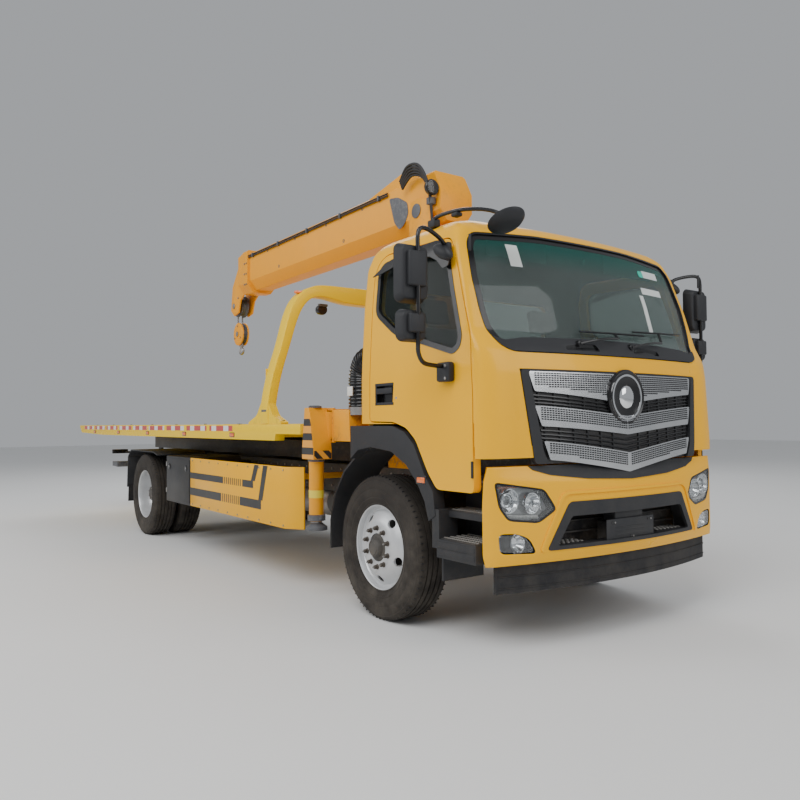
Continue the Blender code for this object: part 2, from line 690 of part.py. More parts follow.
def build_side_boxes():
    for side, sign in (("right", -1), ("left", 1)):
        panel = [(0.05, 1.18), (2.27, 1.18), (2.428, 1.082), (2.438, 1.098), (2.277, 1.20), (0.05, 1.20)]
        skirt = prism("skirt_" + side, [(u, sign * v) for u, v in panel], "Z", 0.505, 1.018)
        for i, x in enumerate((0.35, 1.95)):
            low, high = sorted((sign * 0.4304, sign * 1.19))
            join(skirt, box(f"bracket_{i}", (x, low, 0.88), (x + 0.05, high, 0.93)))
        node(skirt, "side_skirt_" + side, "deck_yellow")
        low, high = sorted((sign * 0.62, sign * 1.20))
        tool = box("toolbox", (-0.74, low, 0.50), (0.0496, high, 1.018))
        low, high = sorted((sign * 0.4304, sign * 0.63))
        join(tool, box("tool_bracket", (-0.60, low, 0.88), (-0.10, high, 0.95)))
        node(tool, "toolbox_" + side, "steel_grey")
    tank = box("tank", (0.60, 0.50, 0.53), (1.80, 1.08, 0.868))
    join(tank, box("tank_strap", (0.80, 0.4304, 0.76), (1.55, 0.52, 0.84)))
    node(tank, "fuel_tank", "wheel_silver", bevel=0.03)
    for side, sign in (("right", -1), ("left", 1)):
        outline = [
            (0.58, 1.02), (0.42, 1.052), (-0.52, 1.052), (-0.66, 0.96), (-0.70, 0.55), (-0.685, 0.55),
            (-0.645, 0.953),
            (-0.515, 1.037), (0.41, 1.037), (0.575, 1.005),
        ]
        guard = prism("guard", [(u + REAR_AXLE_X, v) for u, v in outline], "Y", sign * 0.58, sign * 1.20)
        low, high = sorted((sign * 0.4304, sign * 0.60))
        join(guard, box("guard_bracket", (REAR_AXLE_X - 0.62, low, 0.93), (REAR_AXLE_X - 0.52, high, 0.985)))
        join(
            guard,
            box(
                "guard_tie", (REAR_AXLE_X - 0.62, *sorted((sign * 0.58, sign * 0.62))[:1], 0.93),
                (REAR_AXLE_X - 0.50, max(sign * 0.58, sign * 0.62), 1.04),
            ),
        )
        node(guard, "rear_mudguard_" + side, "dark_plastic")


def build_air_intake():
    x = FRONT_AXLE_X
    duct = bent_tube(
        "duct",
        [
            (x - 0.42, -0.96, 1.492), (x - 0.42, -0.96, 1.70), (x - 0.395, -0.96, 1.79),
            (x - 0.33, -0.96, 1.85), (x - 0.169, -0.96, 1.87),
        ],
        0.105, 14,
    )
    cut(duct, box("duct_trim", (x - 0.1655, -1.3, 1.5), (x, -0.6, 2.3)))
    node(duct, "air_intake", "dark_plastic")


def build_deck():
    x0, x1 = TAIL_X, DECK_FRONT_X
    half = DECK_HALF_WIDTH
    step_x = FRONT_AXLE_X - 1.33
    plate = box("floor", (x0 + 0.05, -half + 0.02, 1.325), (x1, half - 0.02, 1.347))
    for sign in (-1, 1):
        side = [
            (x0, 1.345), (x0, 1.372), (x0 + 0.05, DECK_HIGH_Z), (x1, DECK_HIGH_Z), (x1, 1.292),
            (step_x + 0.02, 1.292),
            (step_x, DECK_LOW_Z), (x0 + 1.36, DECK_LOW_Z), (x0 + 0.12, 1.262),
        ]
        low, high = sorted((sign * (half - 0.09), sign * half))
        join(plate, prism("side_rail", side, "Y", low, high))
        low, high = sorted((sign * 0.36, sign * 0.43))
        join(
            plate,
            prism(
                "slide_rail", [(x0 + 1.2, 1.240), (x1 - 0.1, 1.240), (x1 - 0.1, 1.33), (x0 + 1.2, 1.33)], "Y",
                low, high,
            ),
        )
    for i in range(7):
        x = x0 + 0.95 + i * 1.0
        join(plate, box(f"bearer_{i}", (x, -half + 0.05, 1.262), (x + 0.06, half - 0.05, 1.33)))
    join(plate, box("tail_bar", (x0, -half + 0.02, 1.29), (x0 + 0.10, half - 0.02, 1.346)))
    join(plate, box("head_bar", (x1 - 0.08, -half + 0.02, 1.294), (x1, half - 0.02, 1.372)))
    join(plate, box("winch_base", (2.16, -0.34, 1.34), (2.50, 0.34, 1.375)))
    cheek = [(2.18, 1.36), (2.46, 1.36), (2.46, 1.52), (2.40, 1.59), (2.24, 1.59), (2.18, 1.52)]
    for sign in (-1, 1):
        join(plate, prism("winch_cheek", cheek, "Y", sign * 0.27, sign * 0.30))
    join(plate, rod("winch_drum", (2.32, -0.29, 1.475), (2.32, 0.29, 1.475), 0.07, 16))
    node(plate, "deck", "deck_yellow", (DECK_FRONT_X, 0, DECK_LOW_Z))


def build_gantry():
    outer = [
        (1.25, 1.3736), (1.25, 1.55), (1.20, 1.80), (1.115, 2.07), (1.04, 2.335), (0.965, 2.485),
        (0.855, 2.575), (0.72, 2.62), (0.0, 2.626),
    ]
    inner = [
        (1.165, 1.3736), (1.165, 1.55), (1.115, 1.80), (1.03, 2.07), (0.955, 2.30), (0.885, 2.43),
        (0.79, 2.505), (0.66, 2.525),
        (0.57, 2.485), (0.0, 2.475),
    ]
    ring = outer + [
        (-u, v) for u, v in reversed(outer[:-1])
    ] + [(-u, v) for u, v in inner[:-1]] + list(reversed(inner))
    arch = prism("arch", ring, "X", GANTRY_X, GANTRY_X + GANTRY_DEPTH)
    foot = [
        (1.66, 1.3736), (2.31, 1.3736), (2.31, 1.392), (2.15, 1.45), (2.05, 1.58), (1.94, 1.58), (1.83, 1.45),
        (1.66, 1.392),
    ]
    for sign in (-1, 1):
        join(arch, prism("foot", foot, "Y", sign * 1.175, sign * 1.243))
    node(arch, "gantry", "deck_yellow")


def build_tilt_frame():
    rear = TILT_PIVOT[0] - 0.12
    frame = box("tilt_right", (rear, -0.46, 1.035), (2.40, -0.37, 1.21))
    join(frame, box("tilt_left", (rear, 0.37, 1.035), (2.40, 0.46, 1.21)))
    for i, x in enumerate((2.25, 0.9, -0.6, -2.1, rear)):
        join(frame, box(f"tilt_cross_{i}", (x, -0.38, 1.06), (x + 0.10, 0.38, 1.18)))
    for sign in (-1, 1):
        lug = [
            (TILT_PIVOT[0] - 0.07, 1.05), (TILT_PIVOT[0] - 0.05, 0.89), (TILT_PIVOT[0] + 0.05, 0.89),
            (TILT_PIVOT[0] + 0.07, 1.05),
        ]
        join(frame, prism("lug", lug, "Y", sign * 0.393, sign * 0.425))
    node(frame, "tilt_frame", "chassis_black", TILT_PIVOT)


def build_underlift():
    x, _, z = UNDERLIFT_PIN
    arm = box("arm", (x - 0.78, -0.10, z - 0.075), (x + 0.05, 0.10, z + 0.075))
    cut(arm, box("arm_bore", (x - 0.9, -0.085, z - 0.06), (x - 0.02, 0.085, z + 0.06)))
    node(arm, "underlift_arm", "steel_grey", UNDERLIFT_PIN)
    inner = box("inner", (x - 0.84, -0.078, z - 0.053), (x - 0.06, 0.078, z + 0.053))
    join(inner, box("stem", (x - 0.93, -0.09, z - 0.05), (x - 0.83, 0.09, z + 0.17)))
    join(inner, box("crossbar", (x - 0.92, -0.98, z + 0.09), (x - 0.82, 0.98, z + 0.17)))
    for sign in (-1, 1):
        low, high = sorted((sign * 0.90, sign * 0.98))
        join(inner, box("claw", (x - 1.10, low, z + 0.095), (x - 0.90, high, z + 0.165)))
    node(inner, "underlift_bar", "steel_grey", UNDERLIFT_PIN)


def build_crane_base():
    x = OUTRIGGER_X
    housing = box("housing", (x - 0.095, -1.075, 1.235), (x + 0.095, 1.075, 1.49))
    cut(housing, box("housing_bore", (x - 0.083, -1.2, 1.247), (x + 0.083, 1.2, 1.478)))
    plinth = box("plinth", (2.69, -0.43, 1.0004), (3.20, 0.43, 1.24))
    tower = box("tower", (2.865, -0.30, 1.235), (3.17, 0.30, 1.53))
    ring = lathe("ring", [(0, 1.485), (0.21, 1.485), (0.21, 1.60), (0, 1.60)], (SLEW_X, 0, 0), "Z", 28)
    gusset = [(2.87, 1.24), (3.12, 1.24), (3.10, 1.48), (2.87, 1.485)]
    join(housing, plinth, tower, ring)
    for sign in (-1, 1):
        join(housing, prism("gusset", gusset, "Y", sign * 0.96, sign * 1.07))
        join(
            housing,
            box(
                "front_beam", (2.86, min(sign * 0.28, sign * 1.0), 1.26),
                (3.05, max(sign * 0.28, sign * 1.0), 1.45),
            ),
        )
    node(housing, "crane_base", "crane_orange")


def build_outrigger(side, sign):
    x = OUTRIGGER_X
    low, high = sorted((sign * 0.03, sign * 1.10))
    beam = box("beam", (x - 0.075, low, 1.255), (x + 0.075, high, 1.470))
    head = [
        (x - 0.093, 1.10), (x + 0.093, 1.10), (x + 0.093, 1.17), (x + 0.05, 1.40), (x + 0.02, 1.50),
        (x - 0.05, 1.50), (x - 0.093, 1.17),
    ]
    join(beam, prism("head", head, "Y", sign * 1.085, sign * 1.245))
    barrel = lathe(
        "barrel", [(0, 0.62), (0.0585, 0.62), (0.0585, 1.12), (0, 1.12)], (x, sign * OUTRIGGER_LEG_Y, 0), "Z",
        20,
    )
    join(beam, barrel)
    cut(
        beam,
        lathe(
            "jack_bore", [(0, 0.60), (0.046, 0.60), (0.046, 1.385), (0, 1.385)],
            (x, sign * OUTRIGGER_LEG_Y, 0), "Z", 20,
        ),
    )
    node(beam, "outrigger_beam_" + side, "crane_orange", (x, sign * OUTRIGGER_LEG_Y, 1.36))
    leg = [(0, 0.550), (0.085, 0.550), (0.085, 0.575), (0.05, 0.60), (0.04, 0.612), (0.04, 1.36), (0, 1.36)]
    node(
        lathe("leg", leg, (x, sign * OUTRIGGER_LEG_Y, 0), "Z", 20), "outrigger_leg_" + side, "steel_grey",
        (x, sign * OUTRIGGER_LEG_Y, 0.55),
    )


def boom_section(half, low, high, chamfer):
    return both(
        [(half - chamfer, low), (half, low + chamfer * 1.35), (half, high - 0.02), (half - 0.02, high)]
    )


def build_boom():
    x, _, z = BOOM_PIVOT
    half, low, high = BOOM_HALF_WIDTH, BOOM_LOW_Z, BOOM_HIGH_Z
    far = -0.82
    base = prism("boom_tube", boom_section(half, low, high, 0.08), "X", far, x + 0.30)
    side = [
        (x + 0.31, z - 0.13), (x + 0.31, z + 0.10), (x + 0.10, high + 0.2), (far - 1, high + 0.2),
        (far - 1, low - 0.2), (x - 0.30, low - 0.2),
        (x - 0.20, low), (x + 0.12, low),
    ]
    keep(base, prism("boom_side", side, "Y", -0.5, 0.5))
    knee = prism(
        "knee",
        [
            (x - 0.80, high - 0.05), (x + 0.02, high - 0.05), (x - 0.06, high + 0.03),
            (x - 0.26, high + 0.10), (x - 0.42, high + 0.07), (x - 0.80, high),
        ],
        "Y", -half + 0.01, half - 0.01,
    )
    collar = prism(
        "collar", boom_section(half + 0.03, low - 0.03, high + 0.04, 0.08), "X", far - 0.05, far + 0.10,
    )
    join(base, knee, collar)
    cut(
        base,
        prism(
            "boom_bore", boom_section(half - 0.014, low + 0.014, high - 0.014, 0.074), "X", far - 0.3,
            x - 0.42,
        ),
    )
    pin_x, _, pin_z = LUFF_HIGH_PIN
    for sign in (-1, 1):
        lug = [
            (pin_x - 0.13, low + 0.005), (pin_x - 0.05, pin_z - 0.06), (pin_x + 0.05, pin_z - 0.06),
            (pin_x + 0.13, low + 0.005),
        ]
        join(base, prism("luff_lug", lug, "Y", sign * 0.062, sign * 0.085))
    node(base, "boom_base", "crane_orange", BOOM_PIVOT)

    second = prism(
        "second", boom_section(half - 0.021, low + 0.021, high - 0.021, 0.070), "X", far - 0.06, x - 0.50,
    )
    rim = prism("rim", boom_section(half + 0.02, low - 0.02, high + 0.03, 0.08), "X", far - 0.13, far - 0.056)
    join(second, rim)
    cut(
        second,
        prism(
            "second_bore", boom_section(half - 0.034, low + 0.034, high - 0.034, 0.065), "X", far - 0.3,
            x - 0.60,
        ),
    )
    node(second, "boom_middle", "crane_orange", BOOM_PIVOT)

    third = prism(
        "third", boom_section(half - 0.041, low + 0.041, high - 0.041, 0.060), "X", far - 0.14, x - 0.70,
    )
    rim = prism("rim", boom_section(half + 0.01, low - 0.01, high + 0.02, 0.08), "X", far - 0.23, far - 0.137)
    join(third, rim)
    hx, _, hz = HEAD_PIN
    for sign in (-1, 1):
        plate = [
            (far - 0.20, high - 0.02), (far - 0.20, low + 0.01), (hx + 0.20, hz + 0.05),
            (hx + 0.14, hz - 0.10), (hx, hz - 0.13),
            (hx - 0.10, hz - 0.05), (hx - 0.05, hz + 0.25), (far - 0.42, high - 0.12),
        ]
        join(third, prism("head_plate", plate, "Y", sign * 0.085, sign * 0.105))
    join(third, rod("head_bar", (far - 0.34, -0.09, 3.30), (far - 0.34, 0.09, 3.30), 0.05, 12))
    join(third, rod("sheave_pin", (hx, -0.115, hz), (hx, 0.115, hz), 0.022, 12))
    node(third, "boom_tip", "crane_orange", BOOM_PIVOT)


def build_hook():
    hx, _, hz = HEAD_PIN
    block = lathe(
        "block", [(0, -0.055), (0.11, -0.055), (0.15, -0.03), (0.15, 0.03), (0.11, 0.055), (0, 0.055)],
        (hx - 0.005, 0, 2.565), "Y", 20,
    )
    eye = lathe("eye", [(0.029, -0.05), (0.075, -0.05), (0.075, 0.05), (0.029, 0.05)], HEAD_PIN, "Y", 16)
    falls = [
        box("fall", (hx - 0.05, sign * 0.03 - 0.012, 2.60), (hx - 0.03, sign * 0.03 + 0.012, hz - 0.045))
        for sign in (-1, 1)
    ]
    hook = bent_tube(
        "hook",
        [
            (hx, 0, 2.44), (hx, 0, 2.40), (hx + 0.05, 0, 2.37), (hx + 0.045, 0, 2.325), (hx, 0, 2.305),
            (hx - 0.05, 0, 2.325), (hx - 0.06, 0, 2.36),
        ],
        0.016, 6,
    )
    join(block, eye, *falls, hook)
    node(block, "hook_block", "crane_orange", HEAD_PIN)


def build_column():
    px, _, pz = BOOM_PIVOT
    lx, _, lz = LUFF_LOW_PIN
    foot = lathe(
        "turntable", [(0, 1.606), (0.23, 1.606), (0.23, 1.70), (0.17, 1.76), (0, 1.76)], (SLEW_X, 0, 0), "Z",
        28,
    )
    mast = prism(
        "mast", [(SLEW_X - 0.13, 1.74), (SLEW_X + 0.14, 1.74), (SLEW_X + 0.12, 2.80), (SLEW_X - 0.10, 2.80)],
        "Y", -0.17, 0.17,
    )
    join(foot, mast)
    for sign in (-1, 1):
        cheek = [
            (px - 0.10, 2.62), (SLEW_X + 0.12, 2.62), (SLEW_X + 0.08, pz + 0.06), (px + 0.03, pz + 0.11),
            (px - 0.07, pz + 0.09), (px - 0.11, pz),
        ]
        join(foot, prism("cheek", cheek, "Y", sign * 0.163, sign * 0.17))
        join(foot, prism("cheek_skin", cheek, "Y", sign * 0.1695, sign * 0.2))
        lug = [(lx - 0.07, lz - 0.06), (lx + 0.10, lz - 0.10), (lx + 0.14, lz + 0.12), (lx - 0.03, lz + 0.07)]
        join(foot, prism("low_lug", lug, "Y", sign * 0.082, sign * 0.105))
    for sign in (-1, 1):
        cut(
            foot,
            box(
                "boom_way", (px - 0.5, min(sign * 0.0, sign * 0.1755), 2.79),
                (px + 0.5, max(sign * 0.0, sign * 0.1755), 3.6),
            ),
        )
    node(foot, "crane_column", "crane_orange", (SLEW_X, 0, 1.606))


def build_luff_cylinder():
    low, high = Vector(LUFF_LOW_PIN), Vector(LUFF_HIGH_PIN)
    along = (high - low).normalized()
    top = low + along * 0.80
    barrel = rod("barrel", low + along * 0.05, top, 0.068, 20)
    eye = lathe(
        "low_eye", [(0.0, -0.072), (0.055, -0.072), (0.055, 0.072), (0, 0.072)], LUFF_LOW_PIN, "Y", 16,
    )
    join(barrel, eye)
    cut(barrel, rod("barrel_bore", low + along * 0.12, top + along * 0.1, 0.051, 20))
    node(barrel, "luff_cylinder", "steel_grey", LUFF_LOW_PIN)
    shaft = rod("shaft", low + along * 0.22, high - along * 0.03, 0.045, 20)
    eye = lathe(
        "high_eye", [(0.0, -0.052), (0.05, -0.052), (0.05, 0.052), (0, 0.052)], LUFF_HIGH_PIN, "Y", 16,
    )
    node(join(shaft, eye), "luff_rod", "wheel_silver", LUFF_LOW_PIN)


def build():
    for left in list(bpy.data.objects):
        bpy.data.objects.remove(left, do_unlink=True)
    bpy.context.scene.collection.children.link(parts)
    bpy.context.scene.collection.children.link(helpers)
    build_cab()
    build_bumper()
    build_cab_inside()
    build_front_mirror()
    for side, sign in (("right", -1), ("left", 1)):
        build_door(side, sign)
        build_fender(side, sign)
        build_front_wheel(side, sign)
        build_rear_wheel(side, sign)
        build_knuckle(side, sign)
        build_outrigger(side, sign)
    build_axles()
    build_chassis()
    build_side_boxes()
    build_air_intake()
    build_deck()
    build_gantry()
    build_tilt_frame()
    build_underlift()
    build_crane_base()
    build_column()
    build_boom()
    build_luff_cylinder()
    build_hook()


build()
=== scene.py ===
import json
import math

import bmesh
import bpy
from mathutils import Matrix, Vector

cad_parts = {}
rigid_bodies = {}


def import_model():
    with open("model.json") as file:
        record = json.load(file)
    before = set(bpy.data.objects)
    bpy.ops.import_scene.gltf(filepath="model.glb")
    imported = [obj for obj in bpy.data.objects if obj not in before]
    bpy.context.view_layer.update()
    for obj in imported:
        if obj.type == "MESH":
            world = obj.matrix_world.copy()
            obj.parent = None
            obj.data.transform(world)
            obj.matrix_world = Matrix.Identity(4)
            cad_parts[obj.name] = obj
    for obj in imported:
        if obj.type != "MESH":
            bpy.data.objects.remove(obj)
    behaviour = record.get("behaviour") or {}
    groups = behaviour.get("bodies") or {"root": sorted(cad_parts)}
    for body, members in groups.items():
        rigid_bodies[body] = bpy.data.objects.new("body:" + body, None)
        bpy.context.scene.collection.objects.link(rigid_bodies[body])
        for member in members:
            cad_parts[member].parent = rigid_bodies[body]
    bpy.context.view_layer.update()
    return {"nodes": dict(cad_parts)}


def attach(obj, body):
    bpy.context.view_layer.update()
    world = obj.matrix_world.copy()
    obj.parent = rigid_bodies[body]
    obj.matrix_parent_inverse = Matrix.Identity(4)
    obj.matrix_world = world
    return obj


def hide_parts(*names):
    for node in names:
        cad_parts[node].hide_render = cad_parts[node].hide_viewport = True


for leftover in list(bpy.data.objects):
    bpy.data.objects.remove(leftover, do_unlink=True)
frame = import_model()
nodes = frame["nodes"]
stageCollection = bpy.context.scene.collection
frontAxle = 3.53
rearAxle = -1.67
hubHeight = 0.505


# shader groups shared by the finishes
def shaderGroup(name, inputs, outputs):
    tree = bpy.data.node_groups.new(name, "ShaderNodeTree")
    for label, kind, value in inputs:
        tree.interface.new_socket(label, in_out="INPUT", socket_type=kind).default_value = value
    for label, kind in outputs:
        tree.interface.new_socket(label, in_out="OUTPUT", socket_type=kind)
    return tree, tree.nodes.new("NodeGroupInput"), tree.nodes.new("NodeGroupOutput")


def addNode(tree, kind, inputs=None, **settings):
    made = tree.nodes.new(kind)
    for key, value in settings.items():
        setattr(made, key, value)
    for key, value in (inputs or {}).items():
        made.inputs[key].default_value = value
    return made


def wire(tree, *links):  # node, outlet, node, inlet; or a socket, node, inlet
    for *start, end, inlet in links:
        outlet = start[0].outputs[start[1]] if len(start) == 2 else start[0]
        tree.links.new(outlet, end.inputs[inlet])


def makeGrainGroup():
    tree, inn, out = shaderGroup(
        "surfaceGrain", [("Scale", "NodeSocketFloat", 60.0), ("Patch Scale", "NodeSocketFloat", 2.0)],
        [("Fine", "NodeSocketFloat"), ("Patches", "NodeSocketFloat")],
    )
    place = addNode(tree, "ShaderNodeTexCoord")
    fine = addNode(tree, "ShaderNodeTexNoise", {"Detail": 3.0, "Roughness": 0.6})
    patch = addNode(tree, "ShaderNodeTexNoise", {"Detail": 5.0, "Roughness": 0.65, "Distortion": 0.4})
    wire(
        tree, (place, "Object", fine, "Vector"), (place, "Object", patch, "Vector"),
        (inn, "Scale", fine, "Scale"), (inn, "Patch Scale", patch, "Scale"),
        (fine, "Fac", out, "Fine"), (patch, "Fac", out, "Patches"),
    )
    return tree


def makeDustGroup():
    tree, inn, out = shaderGroup(
        "roadDust",
        [("Base", "NodeSocketColor", (0.5, 0.5, 0.5, 1)), ("Dust", "NodeSocketColor", (0.3, 0.26, 0.21, 1)),
         ("Amount", "NodeSocketFloat", 0.3), ("Reach", "NodeSocketFloat", 1.3)],
        [("Color", "NodeSocketColor"), ("Mask", "NodeSocketFloat")],
    )
    place = addNode(tree, "ShaderNodeTexCoord")
    split = addNode(tree, "ShaderNodeSeparateXYZ")
    fall = addNode(tree, "ShaderNodeMapRange", {"From Min": 0.0, "To Min": 1.0, "To Max": 0.06})
    speck = addNode(tree, "ShaderNodeTexNoise", {"Scale": 5.0, "Detail": 9.0, "Roughness": 0.72})
    sharpen = addNode(tree, "ShaderNodeMapRange", {"From Min": 0.38, "From Max": 0.72})
    both = addNode(tree, "ShaderNodeMath", operation="MULTIPLY")
    amount = addNode(tree, "ShaderNodeMath", operation="MULTIPLY")
    blend = addNode(tree, "ShaderNodeMix", data_type="RGBA")
    wire(
        tree, (place, "Object", split, 0), (split, "Z", fall, "Value"),
        (inn, "Reach", fall, "From Max"), (place, "Object", speck, "Vector"),
        (speck, "Fac", sharpen, "Value"), (fall, 0, both, 0), (sharpen, 0, both, 1),
        (both, 0, amount, 0), (inn, "Amount", amount, 1),
        (amount, 0, blend, "Factor"), (inn, "Base", blend, "A"),
        (inn, "Dust", blend, "B"), (blend, "Result", out, "Color"),
        (amount, 0, out, "Mask"),
    )
    return tree


def makeWearGroup():
    tree, inn, out = shaderGroup(
        "edgeRub",
        [("Base", "NodeSocketColor", (0.5, 0.5, 0.5, 1)),
         ("Bare", "NodeSocketColor", (0.2, 0.2, 0.2, 1)),
         ("Amount", "NodeSocketFloat", 0.3)],
        [("Color", "NodeSocketColor"), ("Mask", "NodeSocketFloat")],
    )
    shape = addNode(tree, "ShaderNodeNewGeometry")
    edge = addNode(tree, "ShaderNodeMapRange", {"From Min": 0.53, "From Max": 0.62})
    place = addNode(tree, "ShaderNodeTexCoord")
    chips = addNode(tree, "ShaderNodeTexNoise", {"Scale": 22.0, "Detail": 8.0, "Roughness": 0.7})
    sharp = addNode(tree, "ShaderNodeMapRange", {"From Min": 0.5, "From Max": 0.62})
    both = addNode(tree, "ShaderNodeMath", operation="MULTIPLY")
    amount = addNode(tree, "ShaderNodeMath", operation="MULTIPLY")
    blend = addNode(tree, "ShaderNodeMix", data_type="RGBA")
    wire(
        tree, (shape, "Pointiness", edge, "Value"), (place, "Object", chips, "Vector"),
        (chips, "Fac", sharp, "Value"), (edge, 0, both, 0), (sharp, 0, both, 1),
        (both, 0, amount, 0), (inn, "Amount", amount, 1), (amount, 0, blend, "Factor"),
        (inn, "Base", blend, "A"), (inn, "Bare", blend, "B"),
        (blend, "Result", out, "Color"), (amount, 0, out, "Mask"),
    )
    return tree


surfaceGrain, roadDust, edgeRub = makeGrainGroup(), makeDustGroup(), makeWearGroup()


def useGroup(tree, group, inputs=None):
    made = tree.nodes.new("ShaderNodeGroup")
    made.node_tree = group
    for key, value in (inputs or {}).items():
        made.inputs[key].default_value = value
    return made


def startMaterial(name):
    made = bpy.data.materials.new(name)
    made.use_nodes = True
    return made, made.node_tree, made.node_tree.nodes["Principled BSDF"]


def spread(colour, factor):
    return (*[min(1.0, c * factor) for c in colour], 1.0)


def finish(name, colour, rough=0.4, metal=0.0, coat=0.0, dust=0.25, reach=1.3, grain=90.0, bump=0.05,
           vary=0.07, rub=0.0, bare=(0.12, 0.1, 0.09), patches=1.6, sheen=0.0, pattern=None, shine=0.5):
    # one painted, moulded or metal finish
    made, tree, shader = startMaterial(name)
    grainNode = useGroup(tree, surfaceGrain, {"Scale": grain, "Patch Scale": patches})
    tone = addNode(
        tree, "ShaderNodeMix", {"A": spread(colour, 1 - vary), "B": spread(colour, 1 + vary)},
        data_type="RGBA",
    )
    wire(tree, (grainNode, "Patches", tone, "Factor"))
    last = tone.outputs["Result"]
    if pattern:
        last = pattern(tree, last)
    if rub:
        worn = useGroup(tree, edgeRub, {"Amount": rub, "Bare": (*bare, 1.0)})
        wire(tree, (last, worn, "Base"))
        last = worn.outputs["Color"]
    dusty = useGroup(tree, roadDust, {"Amount": dust, "Reach": reach})
    wire(tree, (last, dusty, "Base"), (dusty, "Color", shader, "Base Color"))
    gloss = addNode(
        tree, "ShaderNodeMapRange",
        {"From Min": 0.25, "From Max": 0.75, "To Min": max(0.03, rough - 0.07), "To Max": rough + 0.09},
    )
    dull = addNode(tree, "ShaderNodeMath", {1: 0.45}, operation="MULTIPLY_ADD")
    wire(
        tree, (grainNode, "Patches", gloss, "Value"), (dusty, "Mask", dull, 0),
        (gloss, 0, dull, 2), (dull, 0, shader, "Roughness"),
    )
    relief = addNode(tree, "ShaderNodeBump", {"Strength": bump, "Distance": 0.002})
    wire(tree, (grainNode, "Fine", relief, "Height"), (relief, "Normal", shader, "Normal"))
    shader.inputs["Metallic"].default_value = metal
    shader.inputs["Coat Weight"].default_value = coat
    shader.inputs["Coat Roughness"].default_value = 0.06
    shader.inputs["Specular IOR Level"].default_value = shine
    shader.inputs["Sheen Weight"].default_value = sheen
    return made


def axisValue(tree, which):
    place = addNode(tree, "ShaderNodeTexCoord")
    split = addNode(tree, "ShaderNodeSeparateXYZ")
    wire(tree, (place, "Object", split, 0))
    return split.outputs[which]


def calc(tree, operation, first, second=None, third=None):
    made = addNode(tree, "ShaderNodeMath", operation=operation)
    for i, value in enumerate((first, second, third)):
        if value is None:
            continue
        if isinstance(value, (int, float)):
            made.inputs[i].default_value = value
        else:
            wire(tree, (value, made, i))
    return made.outputs[0]


def mixIn(tree, mask, base, colour):
    made = addNode(tree, "ShaderNodeMix", {"B": (*colour, 1.0)}, data_type="RGBA")
    wire(tree, (mask, made, "Factor"), (base, made, "A"))
    return made.outputs["Result"]


def tapeBands(tree, base):  # white blocks between the red ones, along the deck
    along = calc(tree, "FRACT", calc(tree, "MULTIPLY", axisValue(tree, "X"), 3.3))
    return mixIn(tree, calc(tree, "GREATER_THAN", along, 0.6), base, (0.8, 0.8, 0.78))


def hazardBands(tree, base):  # slanting orange bands on black
    slant = calc(tree, "ADD", axisValue(tree, "Z"), axisValue(tree, "Y"))
    return mixIn(
        tree, calc(tree, "GREATER_THAN", calc(tree, "FRACT", calc(tree, "MULTIPLY", slant, 9.0)), 0.5), base,
        (0.85, 0.36, 0.03),
    )


def tintedTop(tree, base):  # the green sun band
    top = addNode(tree, "ShaderNodeMapRange", {"From Min": 2.36, "From Max": 2.52})
    wire(tree, (axisValue(tree, "Z"), top, "Value"))
    return mixIn(tree, top.outputs[0], base, (0.1, 0.42, 0.36))


cabYellow = finish(
    "cabYellowPaint", (0.95, 0.47, 0.0), 0.32, coat=0.12, dust=0.04, bump=0.02, grain=25, vary=0.03,
    shine=0.2,
)
deckYellow = finish(
    "deckYellowPaint", (0.92, 0.6, 0.0), 0.36, coat=0.08, dust=0.08, bump=0.03, grain=30, vary=0.04, rub=0.3,
    shine=0.2,
)
skirtYellow = finish(
    "skirtYellowPaint", (0.92, 0.45, 0.0), 0.34, coat=0.1, dust=0.1, reach=1.1, bump=0.02, grain=30,
    vary=0.04, shine=0.2,
)
craneOrange = finish(
    "craneOrangePaint", (0.88, 0.36, 0.004), 0.4, coat=0.06, shine=0.22, dust=0.14, reach=4.5, bump=0.05,
    grain=45, vary=0.08, rub=0.55,
)
darkPlastic = finish(
    "darkMouldedPlastic", (0.022, 0.023, 0.026), 0.52, shine=0.35, dust=0.12, reach=1.6, grain=420, bump=0.28,
    vary=0.12,
)
glossBlack = finish(
    "glossBlackTrim", (0.01, 0.01, 0.011), 0.22, coat=0.2, shine=0.35, dust=0.1, bump=0.01, vary=0.1,
)
chassisBlack = finish(
    "chassisBlackPaint", (0.02, 0.02, 0.022), 0.46, dust=0.55, reach=1.5, bump=0.08, grain=60, vary=0.15,
    rub=0.4, bare=(0.16, 0.15, 0.14),
)
tyreRubber = finish(
    "tyreRubber", (0.022, 0.018, 0.015), 0.8, dust=0.3, reach=1.15, shine=0.35, grain=160, bump=0.25,
    vary=0.14,
)
lipRubber = finish(
    "lipRubber", (0.018, 0.018, 0.02), 0.66, shine=0.3, dust=0.25, reach=0.8, grain=120, bump=0.2, vary=0.12,
)
wheelSilver = finish(
    "wheelSilverPaint", (0.6, 0.61, 0.62), 0.34, metal=0.35, dust=0.3, reach=1.0, grain=80, bump=0.05,
    vary=0.05,
)
brightSteel = finish(
    "brushedChrome", (0.66, 0.67, 0.68), 0.26, metal=1.0, dust=0.08, reach=2.0, grain=240, bump=0.05,
    vary=0.06,
)
mirrorChrome = finish("polishedChrome", (0.8, 0.81, 0.82), 0.08, metal=1.0, dust=0.04, bump=0.01, vary=0.03)
boxGrey = finish(
    "toolboxGreyPaint", (0.018, 0.018, 0.019), 0.42, dust=0.2, grain=60, bump=0.05, vary=0.1, shine=0.4,
)
steelGrey = finish(
    "greyPaintedSteel", (0.095, 0.1, 0.112), 0.45, metal=0.2, dust=0.3, grain=70, bump=0.08, vary=0.1,
    rub=0.5, bare=(0.3, 0.29, 0.28),
)
